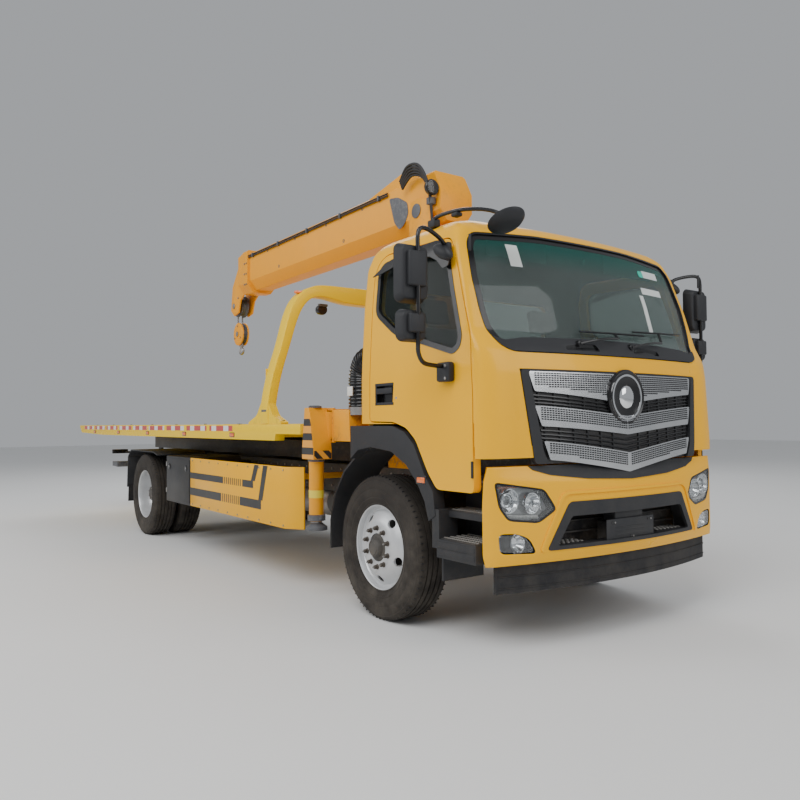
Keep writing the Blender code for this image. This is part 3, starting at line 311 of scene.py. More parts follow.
rawSteel = finish(
    "wornSteel", (0.33, 0.32, 0.31), 0.42, metal=0.85, dust=0.3, grain=120, bump=0.15, vary=0.2, patches=6,
)
castIron = finish(
    "castIron", (0.09, 0.085, 0.08), 0.62, metal=0.5, dust=0.6, reach=1.2, grain=150, bump=0.4, vary=0.2,
)
sleeveBrown = finish(
    "nutSleeveBronze", (0.07, 0.056, 0.045), 0.38, metal=0.55, dust=0.3, reach=1.0, grain=140, bump=0.06,
    vary=0.15,
)
cabTrim = finish(
    "cabLiningCloth", (0.035, 0.036, 0.038), 0.9, dust=0.05, grain=500, bump=0.35, vary=0.1, sheen=0.2,
)
seatCloth = finish(
    "seatWeave", (0.06, 0.066, 0.075), 0.94, dust=0.04, grain=620, bump=0.55, vary=0.14, sheen=0.35,
)
padGrey = finish(
    "ribbedStepMat", (0.3, 0.29, 0.27), 0.7, dust=0.4, reach=1.2, grain=200, bump=0.25, vary=0.12,
)
reflectTape = finish(
    "redWhiteTape", (0.55, 0.035, 0.03), 0.34, coat=0.4, dust=0.22, reach=1.6, grain=700, bump=0.2, vary=0.06,
    pattern=tapeBands,
)
hazardPaint = finish(
    "slantedWarningPaint", (0.02, 0.02, 0.02), 0.4, dust=0.15, reach=2.0, vary=0.08, pattern=hazardBands,
    grain=60,
)
amberLens = finish(
    "amberLens", (0.85, 0.17, 0.02), 0.14, coat=0.7, dust=0.08, grain=260, bump=0.12, vary=0.08,
)
redLens = finish("redLens", (0.55, 0.02, 0.02), 0.14, coat=0.7, dust=0.1, grain=260, bump=0.12, vary=0.08)
maskingTape = finish("paleMaskingTape", (0.62, 0.64, 0.62), 0.7, dust=0.02, grain=350, bump=0.3, vary=0.05)
greenDot = finish("greenSticker", (0.02, 0.5, 0.36), 0.4, dust=0.0, grain=90, bump=0.02, vary=0.03)
labelWhite = finish("plainLabel", (0.75, 0.74, 0.7), 0.5, dust=0.15, grain=120, bump=0.04, vary=0.04)
labelYellow = finish("plainYellowLabel", (0.8, 0.62, 0.05), 0.5, dust=0.15, grain=120, bump=0.04, vary=0.04)
hoseRubber = finish(
    "hoseRubber", (0.022, 0.022, 0.024), 0.55, dust=0.25, reach=4.0, grain=300, bump=0.3, vary=0.15,
)
stripeBlack = finish("stripeFilm", (0.014, 0.014, 0.015), 0.35, dust=0.22, grain=60, bump=0.02, vary=0.1)
ropeSteel = finish("cableSteel", (0.28, 0.27, 0.26), 0.4, metal=0.8, dust=0.3, grain=240, bump=0.3, vary=0.2)


def glassFinish(name, tint, rough=0.02, thickness=0.75, pattern=None, bend=1.45):
    made, tree, shader = startMaterial(name)
    film = useGroup(tree, surfaceGrain, {"Scale": 14.0, "Patch Scale": 1.2})
    tone = addNode(tree, "ShaderNodeMix", {"A": (*tint, 1.0), "B": spread(tint, 0.9)}, data_type="RGBA")
    gloss = addNode(tree, "ShaderNodeMapRange", {"To Min": rough, "To Max": rough + 0.05})
    wire(tree, (film, "Patches", tone, "Factor"), (film, "Patches", gloss, "Value"))
    last = pattern(tree, tone.outputs["Result"]) if pattern else tone.outputs["Result"]
    wire(tree, (last, shader, "Base Color"), (gloss, 0, shader, "Roughness"))
    shader.inputs["Transmission Weight"].default_value = thickness
    shader.inputs["IOR"].default_value = bend
    return made


screenGlass = glassFinish("windscreenGlass", (0.42, 0.5, 0.48), 0.02, 0.88, tintedTop, 1.25)
# side and rear window glass tinted dark: partly the glass's own green-grey tint, partly painted shade for the
# dark cab interior seen through the panes
sideGlass = glassFinish("sideWindowGlass", (0.24, 0.29, 0.27), 0.02, 0.95, bend=1.14)
lampGlass = glassFinish("lampLensGlass", (0.93, 0.95, 0.96), 0.03, 0.96)
print("finishes ready")


# mesh helpers
def pieceFromMesh(name, mesh, body, angle=32):
    made = bpy.data.objects.new(name, mesh)
    stageCollection.objects.link(made)
    shadeMesh(mesh, angle)
    if body:
        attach(made, body)
    return made


def shadeMesh(mesh, angle):
    for face in mesh.polygons:
        face.use_smooth = True
    mesh.set_sharp_from_angle(angle=math.radians(angle))


class Shape:  # gathers solids into one piece, with a finish for each
    def __init__(self):
        self.bm = bmesh.new()
        self.finishes = []

    def slotOf(self, surface):
        if surface not in self.finishes:
            self.finishes.append(surface)
        return self.finishes.index(surface)

    def add(self, other, surface, turn=None):
        if turn is not None:
            other.transform(turn)
        bmesh.ops.recalc_face_normals(other, faces=other.faces)
        index = self.slotOf(surface)
        for face in other.faces:
            face.material_index = index
        held = bpy.data.meshes.new("held")
        other.to_mesh(held)
        other.free()
        self.bm.from_mesh(held)
        bpy.data.meshes.remove(held)
        return self

    def box(self, low, high, surface, bevel=0.004, turn=None, segments=2):
        bm = bmesh.new()
        bmesh.ops.create_cube(bm, size=1.0)
        low, high = Vector(
            [min(a, b) for a, b in zip(low, high)]
        ), Vector([max(a, b) for a, b in zip(low, high)])
        size = high - low
        bm.transform(Matrix.Translation((low + high) / 2) @ Matrix.Diagonal((*size, 1.0)))
        if bevel:
            width = min(bevel, 0.45 * min(size))
            bmesh.ops.bevel(
                bm, geom=list(bm.edges), offset=width, segments=segments, profile=0.5, affect="EDGES",
            )
        return self.add(bm, surface, turn)

    def prism(self, outline, axis, start, end, surface, bevel=0.0, turn=None, segments=2):
        bm = prismMesh(outline, axis, start, end)
        if bevel:
            bmesh.ops.bevel(
                bm, geom=list(bm.edges), offset=bevel, segments=segments, profile=0.5, affect="EDGES",
                clamp_overlap=True,
            )
        return self.add(bm, surface, turn)

    def spin(self, profile, centre, axis, surface, steps=48, out=1.0, turn=None):
        return self.add(spinMesh(profile, centre, axis, steps, out), surface, turn)

    def tube(self, path, radius, surface, sides=12, smooth=0, caps=True, turn=None):
        return self.add(
            tubeMesh(smoothPath(path, smooth) if smooth else path, radius, sides, caps), surface, turn,
        )

    def piece(self, name, body="truck", slot="dark_plastic", stands=(), angle=35):
        mesh = bpy.data.meshes.new(name)
        self.bm.to_mesh(mesh)
        self.bm.free()
        for surface in self.finishes:
            mesh.materials.append(surface)
        made = pieceFromMesh(name, mesh, body, angle)
        if stands:
            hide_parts(*stands)
        return made


def placed(axis, u, v, w):
    return {"X": (w, u, v), "Y": (u, w, v), "Z": (u, v, w)}[axis]


def prismMesh(outline, axis, start, end):
    bm = bmesh.new()
    near = [bm.verts.new(placed(axis, u, v, start)) for u, v in outline]
    far = [bm.verts.new(placed(axis, u, v, end)) for u, v in outline]
    bm.faces.new(near)
    bm.faces.new(list(reversed(far)))
    for i in range(len(outline)):
        j = (i + 1) % len(outline)
        bm.faces.new((near[i], far[i], far[j], near[j]))
    bmesh.ops.recalc_face_normals(bm, faces=bm.faces)
    return bm


def spinMesh(profile, centre, axis, steps, out=1.0):
    bm = bmesh.new()
    rings = []
    for radius, along in profile:
        ring = []
        for k in range(1 if radius < 1e-6 else steps):
            angle = 2 * math.pi * k / steps - math.pi / 2
            u, v, w = radius * math.cos(angle), radius * math.sin(angle), along * out
            ring.append(
                bm.verts.new(Vector(centre) + Vector({"Y": (u, w, v), "Z": (u, v, w), "X": (w, u, v)}[axis]))
            )
        rings.append(ring)
    for a, b in zip(rings, rings[1:] + rings[:1]):
        if len(a) == 1 and len(b) == 1:
            continue
        for k in range(steps):
            n = (k + 1) % steps
            corner = list(dict.fromkeys((a[k % len(a)], a[n % len(a)], b[n % len(b)], b[k % len(b)])))
            if len(corner) > 2:
                bm.faces.new(corner)
    bmesh.ops.recalc_face_normals(bm, faces=bm.faces)
    return bm


def puck(radius, low, high):
    return [(0, low), (radius, low), (radius, high), (0, high)]


def oblong(inner, low, outer, high):
    return [(inner, low), (outer, low), (outer, high), (inner, high)]


def cap(radius, low, high, crown, top):
    return [(0, low), (radius, low), (radius, high), (crown, top), (0, top)]


def flip(outline, sign):
    return [(sign * u, v) for u, v in outline]


def smoothPath(path, steps=6):
    points = [Vector(p) for p in path]
    out = []
    for i in range(len(points) - 1):
        p0, p1, p2, p3 = points[max(i - 1, 0)], points[i], points[i + 1], points[min(i + 2, len(points) - 1)]
        for k in range(steps):
            t = k / steps
            out.append(
                0.5 * (
                    (2 * p1) + (p2 - p0) * t + (2 * p0 - 5 * p1 + 4 * p2 - p3) * t * t
                    + (3 * p1 - p0 - 3 * p2 + p3) * t ** 3
                )
            )
    return out + [points[-1]]


def tubeMesh(path, radius, sides=12, caps=True):
    bm = bmesh.new()
    path = [Vector(p) for p in path]
    rings, side = [], None
    for i, at in enumerate(path):
        along = (path[min(i + 1, len(path) - 1)] - path[max(i - 1, 0)]).normalized()
        side = along.orthogonal().normalized() if side is None else (
            side - side.dot(along) * along
        ).normalized()
        other = along.cross(side)
        size = radius(i / (len(path) - 1)) if callable(radius) else radius
        rings.append([
            bm.verts.new(
                at
                + size * (
                    side * math.cos(2 * math.pi * k / sides) + other * math.sin(2 * math.pi * k / sides)
                )
            )
            for k in range(sides)
        ])
    for a, b in zip(rings, rings[1:]):
        for k in range(sides):
            bm.faces.new((a[k], a[(k + 1) % sides], b[(k + 1) % sides], b[k]))
    if caps:
        bm.faces.new(rings[0])
        bm.faces.new(list(reversed(rings[-1])))
    bmesh.ops.recalc_face_normals(bm, faces=bm.faces)
    return bm


def rounded(outline, radius=0.03, steps=4):
    # an outline with its corners rounded
    out, count = [], len(outline)
    for i, corner in enumerate(outline):
        corner = Vector(corner)
        before, after = Vector(outline[i - 1]) - corner, Vector(outline[(i + 1) % count]) - corner
        reach = min(radius, before.length * 0.45, after.length * 0.45)
        start, end = corner + before.normalized() * reach, corner + after.normalized() * reach
        for k in range(steps + 1):
            t = k / steps
            out.append(tuple((1 - t) ** 2 * start + 2 * t * (1 - t) * corner + t * t * end))
    return out


def grown(outline, margin):
    # an outline moved outwards by a margin
    count, out = len(outline), []
    area = sum(outline[i - 1][0] * outline[i][1] - outline[i][0] * outline[i - 1][1] for i in range(count))
    turn = 1 if area > 0 else -1
    for i in range(count):
        at = Vector(outline[i])
        a, b = (at - Vector(outline[i - 1])), (Vector(outline[(i + 1) % count]) - at)
        if a.length < 1e-9 or b.length < 1e-9:
            out.append(tuple(at))
            continue
        a, b = a.normalized(), b.normalized()
        n = (Vector((a.y, -a.x)) + Vector((b.y, -b.x))) * turn
        scale = margin / max(0.35, 0.5 * n.length) / max(n.length, 1e-6)
        out.append(tuple(at + n * scale))
    return out


def fromBmesh(name, bm, surface=None):
    mesh = bpy.data.meshes.new(name)
    bm.to_mesh(mesh)
    bm.free()
    if surface:
        mesh.materials.append(surface)
    made = bpy.data.objects.new(name, mesh)
    stageCollection.objects.link(made)
    return made


def settle(made):
    # turns live modifiers into plain mesh
    graph = bpy.context.evaluated_depsgraph_get()
    mesh = bpy.data.meshes.new_from_object(made.evaluated_get(graph))
    made.modifiers.clear()
    old = made.data
    made.data = mesh
    bpy.data.meshes.remove(old)
    return made


def carve(target, bm, operation="DIFFERENCE", surface=None):
    tool = fromBmesh("tool", bm, surface or target.data.materials[0])
    step = target.modifiers.new("carve", "BOOLEAN")
    step.operation, step.solver, step.object = operation, "EXACT", tool
    step.material_mode = "TRANSFER"
    settle(target)
    bpy.data.objects.remove(tool, do_unlink=True)
    return target


def refined(node, body, surface, width=0.004, angle=35, segments=2, name=None, shade=32):
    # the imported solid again, with its edges rounded
    bm = bmesh.new()
    bm.from_mesh(nodes[node].data)
    bmesh.ops.remove_doubles(bm, verts=bm.verts, dist=2e-5)
    bmesh.ops.dissolve_limit(bm, angle_limit=math.radians(0.6), verts=bm.verts, edges=bm.edges)
    sharp = [
        e
        for e in bm.edges
        if len(e.link_faces) == 2 and e.calc_face_angle(0) > math.radians(angle) and e.calc_length() > width
    ]
    bmesh.ops.bevel(
        bm, geom=sharp, offset=width, segments=segments, profile=0.5, affect="EDGES", clamp_overlap=True,
    )
    for face in bm.faces:
        face.material_index = 0
    mesh = bpy.data.meshes.new(name or node + "Body")
    bm.to_mesh(mesh)
    bm.free()
    mesh.materials.append(surface)
    made = pieceFromMesh(name or node + "Body", mesh, body, shade)
    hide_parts(node)
    return made


# geometry node trees for what repeats
def geometryTree(name, inputs):
    tree = bpy.data.node_groups.new(name, "GeometryNodeTree")
    tree.interface.new_socket("Geometry", in_out="INPUT", socket_type="NodeSocketGeometry")
    for label, kind, value in inputs:
        socket = tree.interface.new_socket(label, in_out="INPUT", socket_type=kind)
        if value is not None:
            socket.default_value = value
    tree.interface.new_socket("Geometry", in_out="OUTPUT", socket_type="NodeSocketGeometry")
    return tree, tree.nodes.new("NodeGroupInput"), tree.nodes.new("NodeGroupOutput")


def pointTree(name, inputs, source, **aiming):  # a shape on every point, turned to its aim
    tree, inn, out = geometryTree(name, inputs + [("Material", "NodeSocketMaterial", None)])
    made = source(tree, inn)
    aim = addNode(tree, "GeometryNodeInputNamedAttribute", {"Name": "aim"}, data_type="FLOAT_VECTOR")
    turn = addNode(tree, "FunctionNodeAlignRotationToVector", axis="Z", **aiming)
    spreadOut = addNode(tree, "GeometryNodeInstanceOnPoints")
    real = addNode(tree, "GeometryNodeRealizeInstances")
    paint = addNode(tree, "GeometryNodeSetMaterial")
    wire(
        tree, (aim, "Attribute", turn, "Vector"), (inn, "Geometry", spreadOut, "Points"),
        (made, spreadOut, "Instance"), (turn, "Rotation", spreadOut, "Rotation"),
        (spreadOut, "Instances", real, "Geometry"), (real, "Geometry", paint, "Geometry"),
        (inn, "Material", paint, "Material"), (paint, "Geometry", out, "Geometry"),
    )
    return tree


def studSource(tree, inn):
    stud = addNode(tree, "GeometryNodeMeshCylinder")
    wire(
        tree, (inn, "Sides", stud, "Vertices"), (inn, "Radius", stud, "Radius"),
        (inn, "Height", stud, "Depth"),
    )
    return stud.outputs["Mesh"]


def blockSource(tree, inn):
    block = addNode(tree, "GeometryNodeMeshCube")
    wire(tree, (inn, "Size", block, "Size"))
    return block.outputs["Mesh"]


def hoopSource(tree, inn):  # for ribbed ducts and rope windings
    hoop = addNode(tree, "GeometryNodeCurvePrimitiveCircle")
    section = addNode(tree, "GeometryNodeCurvePrimitiveCircle", {"Resolution": 8})
    sweep = addNode(tree, "GeometryNodeCurveToMesh")
    wire(
        tree, (inn, "Hoop Radius", hoop, "Radius"), (inn, "Steps", hoop, "Resolution"),
        (inn, "Wire Radius", section, "Radius"), (hoop, "Curve", sweep, "Curve"),
        (section, "Curve", sweep, "Profile Curve"),
    )
    return sweep.outputs["Mesh"]


def sockets(**values):
    return [
        (
            label.replace("_", " "), "NodeSocketInt" if isinstance(value, int) else "NodeSocketFloat", value,
        ) for label,
        value in values.items()
    ]


studTree = pointTree("studsOnPoints", sockets(Radius=0.01, Height=0.01, Sides=6), studSource)
blockTree = pointTree(
    "blocksOnPoints", [("Size", "NodeSocketVector", (0.1, 0.02, 0.02))], blockSource, pivot_axis="Y",
)
hoopTree = pointTree("hoopsOnPoints", sockets(Hoop_Radius=0.1, Wire_Radius=0.01, Steps=32), hoopSource)


def repeated(name, tree, points, aims, body, surface, slot=None, angle=32, **inputs):
    # runs one of the trees on a set of points and keeps the result as a plain mesh
    mesh = bpy.data.meshes.new(name)
    mesh.from_pydata([tuple(p) for p in points], [], [])
    aims = list(aims) if isinstance(aims, list) else [aims] * len(points)
    attribute = mesh.attributes.new("aim", "FLOAT_VECTOR", "POINT")
    attribute.data.foreach_set("vector", [c for aim in aims for c in aim])
    made = bpy.data.objects.new(name, mesh)
    stageCollection.objects.link(made)
    step = made.modifiers.new("repeat", "NODES")
    step.node_group = tree
    for item in tree.interface.items_tree:
        if item.in_out == "INPUT" and item.name in inputs:
            step[item.identifier] = inputs[item.name]
        elif item.in_out == "INPUT" and item.name == "Material":
            step[item.identifier] = surface
    settle(made)
    shadeMesh(made.data, angle)
    if not made.data.materials:
        made.data.materials.append(surface)
    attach(made, body)
    return made


def studs(name, points, aims, body, surface, radius, height, sides=6, slot=None):
    return repeated(
        name, studTree, points, aims, body, surface, slot, Radius=radius, Height=height, Sides=sides,
    )


# cab skins: the same levels as the frame's cab, finely stepped and eased
cab = {
    "levels": (  # height, front X ahead of the axle, half width, rear X, corner width, corner depth
        (0.955, 1.3, 1.145, -0.165, 0.262, 0.105), (1.235, 1.298, 1.15, -0.165, 0.262, 0.105),
        (1.7, 1.272, 1.147, -0.165, 0.265, 0.105), (1.81, 1.245, 1.142, -0.165, 0.25, 0.08),
        (1.93, 1.175, 1.135, -0.165, 0.11, 0.035), (2.2, 1.1, 1.118, -0.165, 0.085, 0.034),
        (2.48, 1.000, 1.09, -0.158, 0.08, 0.04), (2.6, 0.945, 1.048, -0.13, 0.085, 0.06),
        (2.665, 0.87, 0.985, -0.08, 0.12, 0.1), (2.715, 0.74, 0.87, 0.02, 0.16, 0.14),
        (2.745, 0.52, 0.64, 0.18, 0.2, 0.16),
    ),
    "floor": 1.235, "wall": 0.055, "bow": 0.097, "step": 0.022, "ease": 0.022, "roofCrown": 0.014,
}


def cabLine(z):
    levels = cab["levels"]
    z = min(max(z, levels[0][0]), levels[-1][0])
    for low, high in zip(levels, levels[1:]):
        if z <= high[0]:
            part = (z - low[0]) / (high[0] - low[0])
            return [a + (b - a) * part for a, b in zip(low[1:], high[1:])]


def cabLevel(z):  # the straight levels with their knuckles eased
    reach = cab["ease"] * min(1.0, max(0.0, (cab["levels"][-1][0] - z) / 0.06))
    taken = [cabLine(z + reach * k / 3) for k in range(-3, 4)]
    return [sum(values) / len(taken) for values in zip(*taken)]


def cabRing(z, inset):
    front, half, rear, corner, depth = cabLevel(z)
    front, half, rear = front - inset, half - inset, rear + inset
    corner = max(corner - inset * 0.5, 0.03)
    inner = half - corner
    face = front - cab["bow"] * inner * inner
    side = face - depth
    ring = [(rear + 0.06 * (1 - math.cos(a)), half - 0.06 * (1 - math.sin(a))) for a in (0, 0.4, 0.8, 1.2)]
    ring += [(rear + 0.06 + (side - rear - 0.06) * k / 12, half) for k in range(13)]
    for k in range(1, 11):
        a = math.pi / 2 * k / 10
        ring.append((side + (face - side) * math.sin(a), inner + corner * math.cos(a)))
    ring += [(front - cab["bow"] * (inner * k / 12) ** 2, inner * k / 12) for k in range(11, -1, -1)]
    ring = [(x + frontAxle, y, z) for x, y in ring]
    return ring + [(x, -y, z) for x, y, _ in reversed(ring[:-1])]


def cabLoft(inset, low, high=None):
    top = cab["levels"][-1][0] - max(inset, 0)
    high = min(high or top, top)
    steps = max(2, round((high - low) / cab["step"]))
    rings = [cabRing(low + (high - low) * k / steps, inset) for k in range(steps + 1)]
    if high == top:
        last, middle = rings[-1], frontAxle + 0.35
        for t in (0.8, 0.55, 0.3, 0.1):
            rings.append(
                [(middle + (x - middle) * t, y * t, z + cab["roofCrown"] * (1 - t * t)) for x, y, z in last]
            )
    bm = bmesh.new()
    made = [[bm.verts.new(p) for p in ring] for ring in rings]
    for a, b in zip(made, made[1:]):
        for k in range(len(a)):
            n = (k + 1) % len(a)
            bm.faces.new((a[k], a[n], b[n], b[k]))
    bm.faces.new(made[0])
    bm.faces.new(list(reversed(made[-1])))
    bmesh.ops.recalc_face_normals(bm, faces=bm.faces)
    return bm


def cabSkin(name, surface, outer, inner, outline, axis, start, end, low, high, holes=()):
    made = fromBmesh(name, cabLoft(outer, low, high), surface)
    carve(made, cabLoft(inner, low - 0.03, (high or 2.8) + 0.03))
    carve(made, prismMesh(outline, axis, start, end), "INTERSECT")
    for hole in holes:
        carve(made, prismMesh(hole, axis, start - 0.05, end + 0.05))
    return made


def frontSkin(name, surface, outer, inner, outline, holes=(), low=1.76, high=2.68):
    return cabSkin(name, surface, outer, inner, outline, "X", 4.2, 5.1, low, high, holes)


def finishPiece(made, body="truck", stands=(), angle=35):
    shadeMesh(made.data, angle)
    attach(made, body)
    if stands:
        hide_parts(*stands)
    return made


def ahead(outline):
    return [(u + frontAxle, v) for u, v in outline]


def both(outline):
    return list(outline) + [(-u, v) for u, v in reversed(outline) if abs(u) > 1e-9]


doorOutline = ahead([
    (-0.012, 1.39), (0.27, 1.385), (0.42, 1.345), (0.525, 1.265), (0.645, 1.065), (0.735, 0.962),
    (1.086, 0.962),
    (1.083, 1.55), (1.06, 1.87), (1.000, 2.06), (0.925, 2.29), (0.85, 2.48), (0.79, 2.535), (0.1, 2.555),
    (0.03, 2.52),
    (-0.012, 2.4),
])
doorWindow = ahead([
    (0.06, 2.15), (0.285, 2.00), (0.9, 1.822), (0.945, 1.85), (0.955, 1.9), (0.8, 2.4), (0.745, 2.45),
    (0.11, 2.475),
    (0.06, 2.43),
])
screenHalf = [
    (0.88, 1.8), (0.97, 1.832), (1.025, 1.93), (1.045, 2.05), (1.05, 2.25), (1.02, 2.5), (0.96, 2.575),
    (0.45, 2.605),
]
screenOutline = rounded(both(screenHalf), 0.05)
roundDoor = rounded(doorOutline, 0.035)
roundWindow = rounded(doorWindow, 0.045)
sides = (("right", -1), ("left", 1))


def buildCabShell():
    shell = fromBmesh("cabBodyPanels", cabLoft(0.0, cab["floor"]), cabYellow)
    carve(shell, cabLoft(cab["wall"], cab["floor"] + 0.05), surface=cabTrim)
    sill = oblong(-0.3, 1.1, 1.099, 1.372)
    for side, sign in sides:
        carve(shell, prismMesh(grown(roundDoor, 0.008), "Y", sign * 0.96, sign * 1.4))
        carve(shell, prismMesh(ahead(sill), "Y", sign * 1.063, sign * 1.4))
    carve(shell, prismMesh(grown(screenOutline, 0.002), "X", frontAxle + 0.75, frontAxle + 1.6))
    carve(shell, prismMesh(both([(0.802, 1.12), (0.874, 1.697)]), "X", frontAxle + 1.1, frontAxle + 1.6))
    window = rounded(oblong(-0.72, 1.93, 0.72, 2.36), 0.06)
    carve(shell, prismMesh(window, "X", 3.2, 3.5))
    finishPiece(shell, stands=("cab_shell",), angle=28)

    seal = frontSkin(
        "windscreenSeal", glossBlack, -0.002, 0.016, grown(screenOutline, -0.001),
        [grown(screenOutline, -0.014)],
    )
    finishPiece(seal, angle=40)
    clear = rounded(grown(screenOutline, -0.05), 0.05)
    border = frontSkin("windscreenBorder", glossBlack, 0.0085, 0.0095, grown(screenOutline, -0.013), [clear])
    finishPiece(border, angle=40)
    glass = frontSkin("windscreenPane", screenGlass, 0.0098, 0.0135, grown(screenOutline, -0.003))
    finishPiece(glass, stands=("windscreen",), angle=40)
    cowlHalf = [
        (0.905, 1.806), (0.975, 1.838), (1.012, 1.9), (0.93, 1.872), (0.8, 1.893), (0.4, 1.905), (0.0, 1.908),
    ]
    cowlOutline = [(0.0, 1.802)] + cowlHalf + flip(reversed(cowlHalf[:-1]), -1)
    cowl = frontSkin("wiperCowl", darkPlastic, -0.007, 0.012, rounded(cowlOutline, 0.02), high=2.0)
    for middle in (-0.34, 0.3):  # the two grab recesses
        hole = rounded(
            [(middle - 0.15, 1.825), (middle + 0.15, 1.825), (middle + 0.13, 1.872), (middle - 0.13, 1.872)],
            0.02,
        )
        carve(cowl, prismMesh(hole, "X", frontAxle + 1.205, frontAxle + 1.4), surface=glossBlack)
    finishPiece(cowl)

    rear = Shape()
    rear.box((3.387, -0.719, 1.931), (3.393, 0.719, 2.359), sideGlass, 0)
    rear.piece("rearWindowPane", slot="glass", stands=("rear_window",), angle=40)
    for tapeName, y, z, wide, tall in (
        ("A", 0.72, 2.46, 0.2, 0.055), ("B", 0.66, 2.32, 0.26, 0.05), ("C", 0.5, 2.14, 0.045, 0.28),
        ("D", -0.68, 2.44, 0.09, 0.15),
    ):
        strip = cabSkin("screenTape" + tapeName, maskingTape, 0.007, 0.0094,
                        oblong(y - wide / 2, z - tall / 2, y + wide / 2, z + tall / 2),
                        "X", 4.2, 5.1, 1.9, 2.62)
        finishPiece(strip, angle=40)
    dot = cabSkin("inspectionSticker", greenDot, 0.0068, 0.0094, rounded(oblong(0.56, 2.43, 0.62, 2.48),
                  0.02),
                  "X", 4.2, 5.1, 2.3, 2.6)
    finishPiece(dot, angle=40)


def screenPoint(y, z, lift=0.0):  # a point on the front of the cab
    front, half, _, corner, depth = cabLevel(z)
    inner = half - corner
    if abs(y) <= inner:
        return Vector((frontAxle + front - cab["bow"] * y * y + lift, y, z))
    face = front - cab["bow"] * inner * inner
    c = min(1.0, (abs(y) - inner) / corner)
    return Vector((frontAxle + face - depth + depth * math.sqrt(max(0, 1 - c * c)) + lift, y, z))


def buildWipers():
    wipers = Shape()
    for pivot, elbow, ends in (
        ((0.14, 1.872), (0.52, 1.925), ((0.86, 2.01), (0.22, 1.985))),
        ((-0.36, 1.872), (0.02, 1.925), ((0.34, 1.965), (-0.32, 1.955))),
    ):
        start = screenPoint(*pivot, 0.012)
        middle = screenPoint(*elbow, 0.035)
        wipers.spin([(0, -0.012), (0.022, -0.012), (0.02, 0.012), (0, 0.016)], start, "X", glossBlack, 20)
        wipers.tube(
            [start + Vector((0.012, 0, 0)), (start + middle) / 2 + Vector((0.03, 0, 0.01)), middle], 0.008,
            glossBlack, 8, 4,
        )
        blade = [
            screenPoint(
                ends[0][0] + (ends[1][0] - ends[0][0]) * k / 12,
                ends[0][1] + (ends[1][1] - ends[0][1]) * k / 12, 0.02,
            )
            for k in range(13)
        ]
        wipers.tube(blade, 0.007, glossBlack, 6)
        wipers.tube([p - Vector((0.009, 0, 0)) for p in blade], 0.004, lipRubber, 6)
        wipers.tube([middle, blade[6]], 0.009, glossBlack, 8)
    wipers.piece("wiperPair", angle=40)


grille = {
    "outline": [(0.8, 1.125), (0.872, 1.695)],
    "bars": (  # outer top, outer bottom, centre top, centre bottom: half width and height
        ((0.815, 1.684), (0.775, 1.563), (0.0, 1.682), (0.0, 1.49)),
        ((0.78, 1.477), (0.735, 1.352), (0.0, 1.412), (0.0, 1.292)),
        ((0.73, 1.262), (0.685, 1.148), (0.0, 1.176), (0.0, 1.052)),
    ),
    "holePitch": (0.021, 0.0135), "emblem": (1.535, 0.18),
}


def barEdge(bar, edge, t):  # height of a bar's edge, from its outer end (0) to the middle (1)
    outer, middle = bar[edge][1], bar[edge + 2][1]
    return outer + (middle - outer) * t ** 1.25


